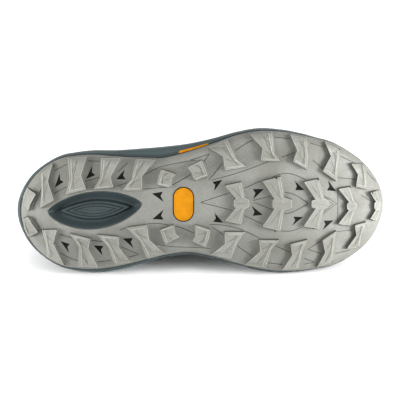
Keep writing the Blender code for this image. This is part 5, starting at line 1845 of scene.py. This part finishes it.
# Each lamp's name, place, power in watts and side in metres
LAMPS = (
    ("lamp_heel_end", (-0.52, -0.26, 0.12), 3.6, 0.2),
    ("lamp_toe_end", (0.50, -0.26, 0.12), 5.6, 0.2),
    ("lamp_above", (0.0, -0.5, 1.3), 1.5, 0.9),
    ("lamp_behind", (0.2, 1.2, 0.9), 5.0, 0.9),
)
FLOOR_REACH = 40.0
FLOOR_LIGHT = (0.97, 0.97, 0.97, 1)
FLOOR_DARK = (0.95, 0.95, 0.95, 1)
WORLD_COLOUR = (1.0, 1.0, 1.0, 1.0)
WORLD_STRENGTH = 1.0


def set_stage():
    bpy.context.scene.view_settings.view_transform = "Standard"
    world = bpy.data.worlds.new("studio")
    world.use_nodes = True
    world.node_tree.nodes["Background"].inputs["Color"].default_value = WORLD_COLOUR
    world.node_tree.nodes["Background"].inputs["Strength"].default_value = WORLD_STRENGTH
    bpy.context.scene.world = world
    for lamp in LAMPS:
        add_lamp(*lamp)
    look, tree, shader = new_look("studio_floor", 0.9, Specular_IOR_Level=0.1)
    tone = spread(tree, noise(tree, 3.0), 0.3, 0.7)
    wire(tree, blend(tree, tone, FLOOR_LIGHT, FLOOR_DARK), shader, "Base Color")
    corners = [(x * FLOOR_REACH, y * FLOOR_REACH, 0) for x, y in ((-1, -1), (1, -1), (1, 1), (-1, 1))]
    mesh = bpy.data.meshes.new("floor")
    mesh.from_pydata(corners, [], [(0, 1, 2, 3)])
    mesh.materials.append(look)
    floor = bpy.data.objects.new("floor", mesh)
    bpy.context.scene.collection.objects.link(floor)


# Rubber in the order of the outsole's kinds: light and dark tone, the grain's scale and depth, the shares of
# dust and grit, and the gloss
RUBBERS = {
    "tread_rubber": ((113, 114, 109), (101, 101, 95), 850, 0.00022, 0.4, 0.38, 0.35),
    "lug_tops": ((117, 118, 112), (104, 104, 98), 750, 0.0003, 0.4, 0.38, 0.35),
    # Paler than the tread: painted highlight on the lugs' top bevels, ridges and feet.
    "lug_edges_painted_highlight": ((134, 134, 127), (123, 123, 116), 1500, 0.00008, 0.1, 0.16, 0.35),
    # Dark tone: painted shade in the pressed lines and pits.
    "pressed_lines_painted_shade": ((52, 52, 48), (46, 46, 42), 1500, 0.00006, 0.1, 0.06, 0.15),
    "dark_darts": ((12, 12, 11), (8, 8, 8), 1500, 0.00008, 0.02, 0.02, 0.1),
    "inlay_outline": ((46, 32, 12), (38, 26, 10), 1500, 0.00008, 0.05, 0.05, 0.15),
    # Darker than the lug tops: painted shade in the creases.
    "lug_creases_painted_shade": ((90, 90, 84), (82, 82, 76), 1500, 0.00006, 0.2, 0.16, 0.35),
    # Darker than the tread: painted shade on every lug wall.
    "lug_walls_painted_shade": ((86, 86, 80), (70, 70, 66), 1100, 0.0002, 0.2, 0.1, 0.2),
}
# Foam and films: light and dark tone
FOAMS = {
    # Darker than the side: painted shade on the inner foam in the heel window.
    "foam_inner_painted_shade": ((35, 47, 49), (30, 40, 42)),
    # The side's lower half is painted darker as shade and its upper half lighter as a painted highlight.
    "foam_low_painted_shade": ((46, 60, 61), (40, 52, 54)),
    "foam_high_painted_highlight": ((50, 63, 62), (43, 55, 55)),
}
FILM = ("film_dark_teal", (28, 40, 44), (21, 31, 35))
EYELET_FILM = ("eyelet_dark", (40, 46, 48), (30, 35, 37))
# Cloth: light and dark tone, a loop's width and height, and its depth, in millimetres
KNITS = {
    "knit_teal": ((70, 90, 96), (24, 37, 42), 3.0, 2.6, 0.5),
    "lining_slate": ((52, 60, 64), (32, 40, 44), 1.3, 1.2, 0.16),
    "collar_binding": ((44, 58, 63), (26, 37, 42), 0.9, 2.2, 0.15),
}
TONGUE_CLOTH = ("tongue_mesh", (58, 74, 80), (26, 38, 43), 2.6, 2.2, 0.4)
INSOLE_CLOTH = ("insole_cloth", (56, 60, 62), (40, 44, 46), 0.8, 0.8, 0.08)
LACE_CLOTH = ("lace_weave", (104, 118, 120), (44, 56, 60), 1.3, 1.2, 0.2)
THREAD = ("stitch_thread", (140, 154, 156), (92, 106, 110), 0.6, 0.6, 0.06)


def main():
    rubber = [rubber_look(name, *values) for name, values in RUBBERS.items()]
    foam = [foam_look(name, *values) for name, values in FOAMS.items()]
    knit = [cloth_look(name, *values) for name, values in KNITS.items()]
    film = [film_look(*FILM)]
    outsole(rubber)
    midsole(foam)
    amber = [amber_look("amber_gloss")]
    inlay(amber)
    foam_bar(amber)
    upper(knit)
    counter(film)
    toe_cap(film)
    eyestay(film)
    eyelet_rings([film_look(*EYELET_FILM)])
    tongue([cloth_look(*TONGUE_CLOTH)])
    insole([cloth_look(*INSOLE_CLOTH)])
    laces([cloth_look(*LACE_CLOTH)])
    stitches([cloth_look(*THREAD)])
    set_stage()
    set_camera()


main()
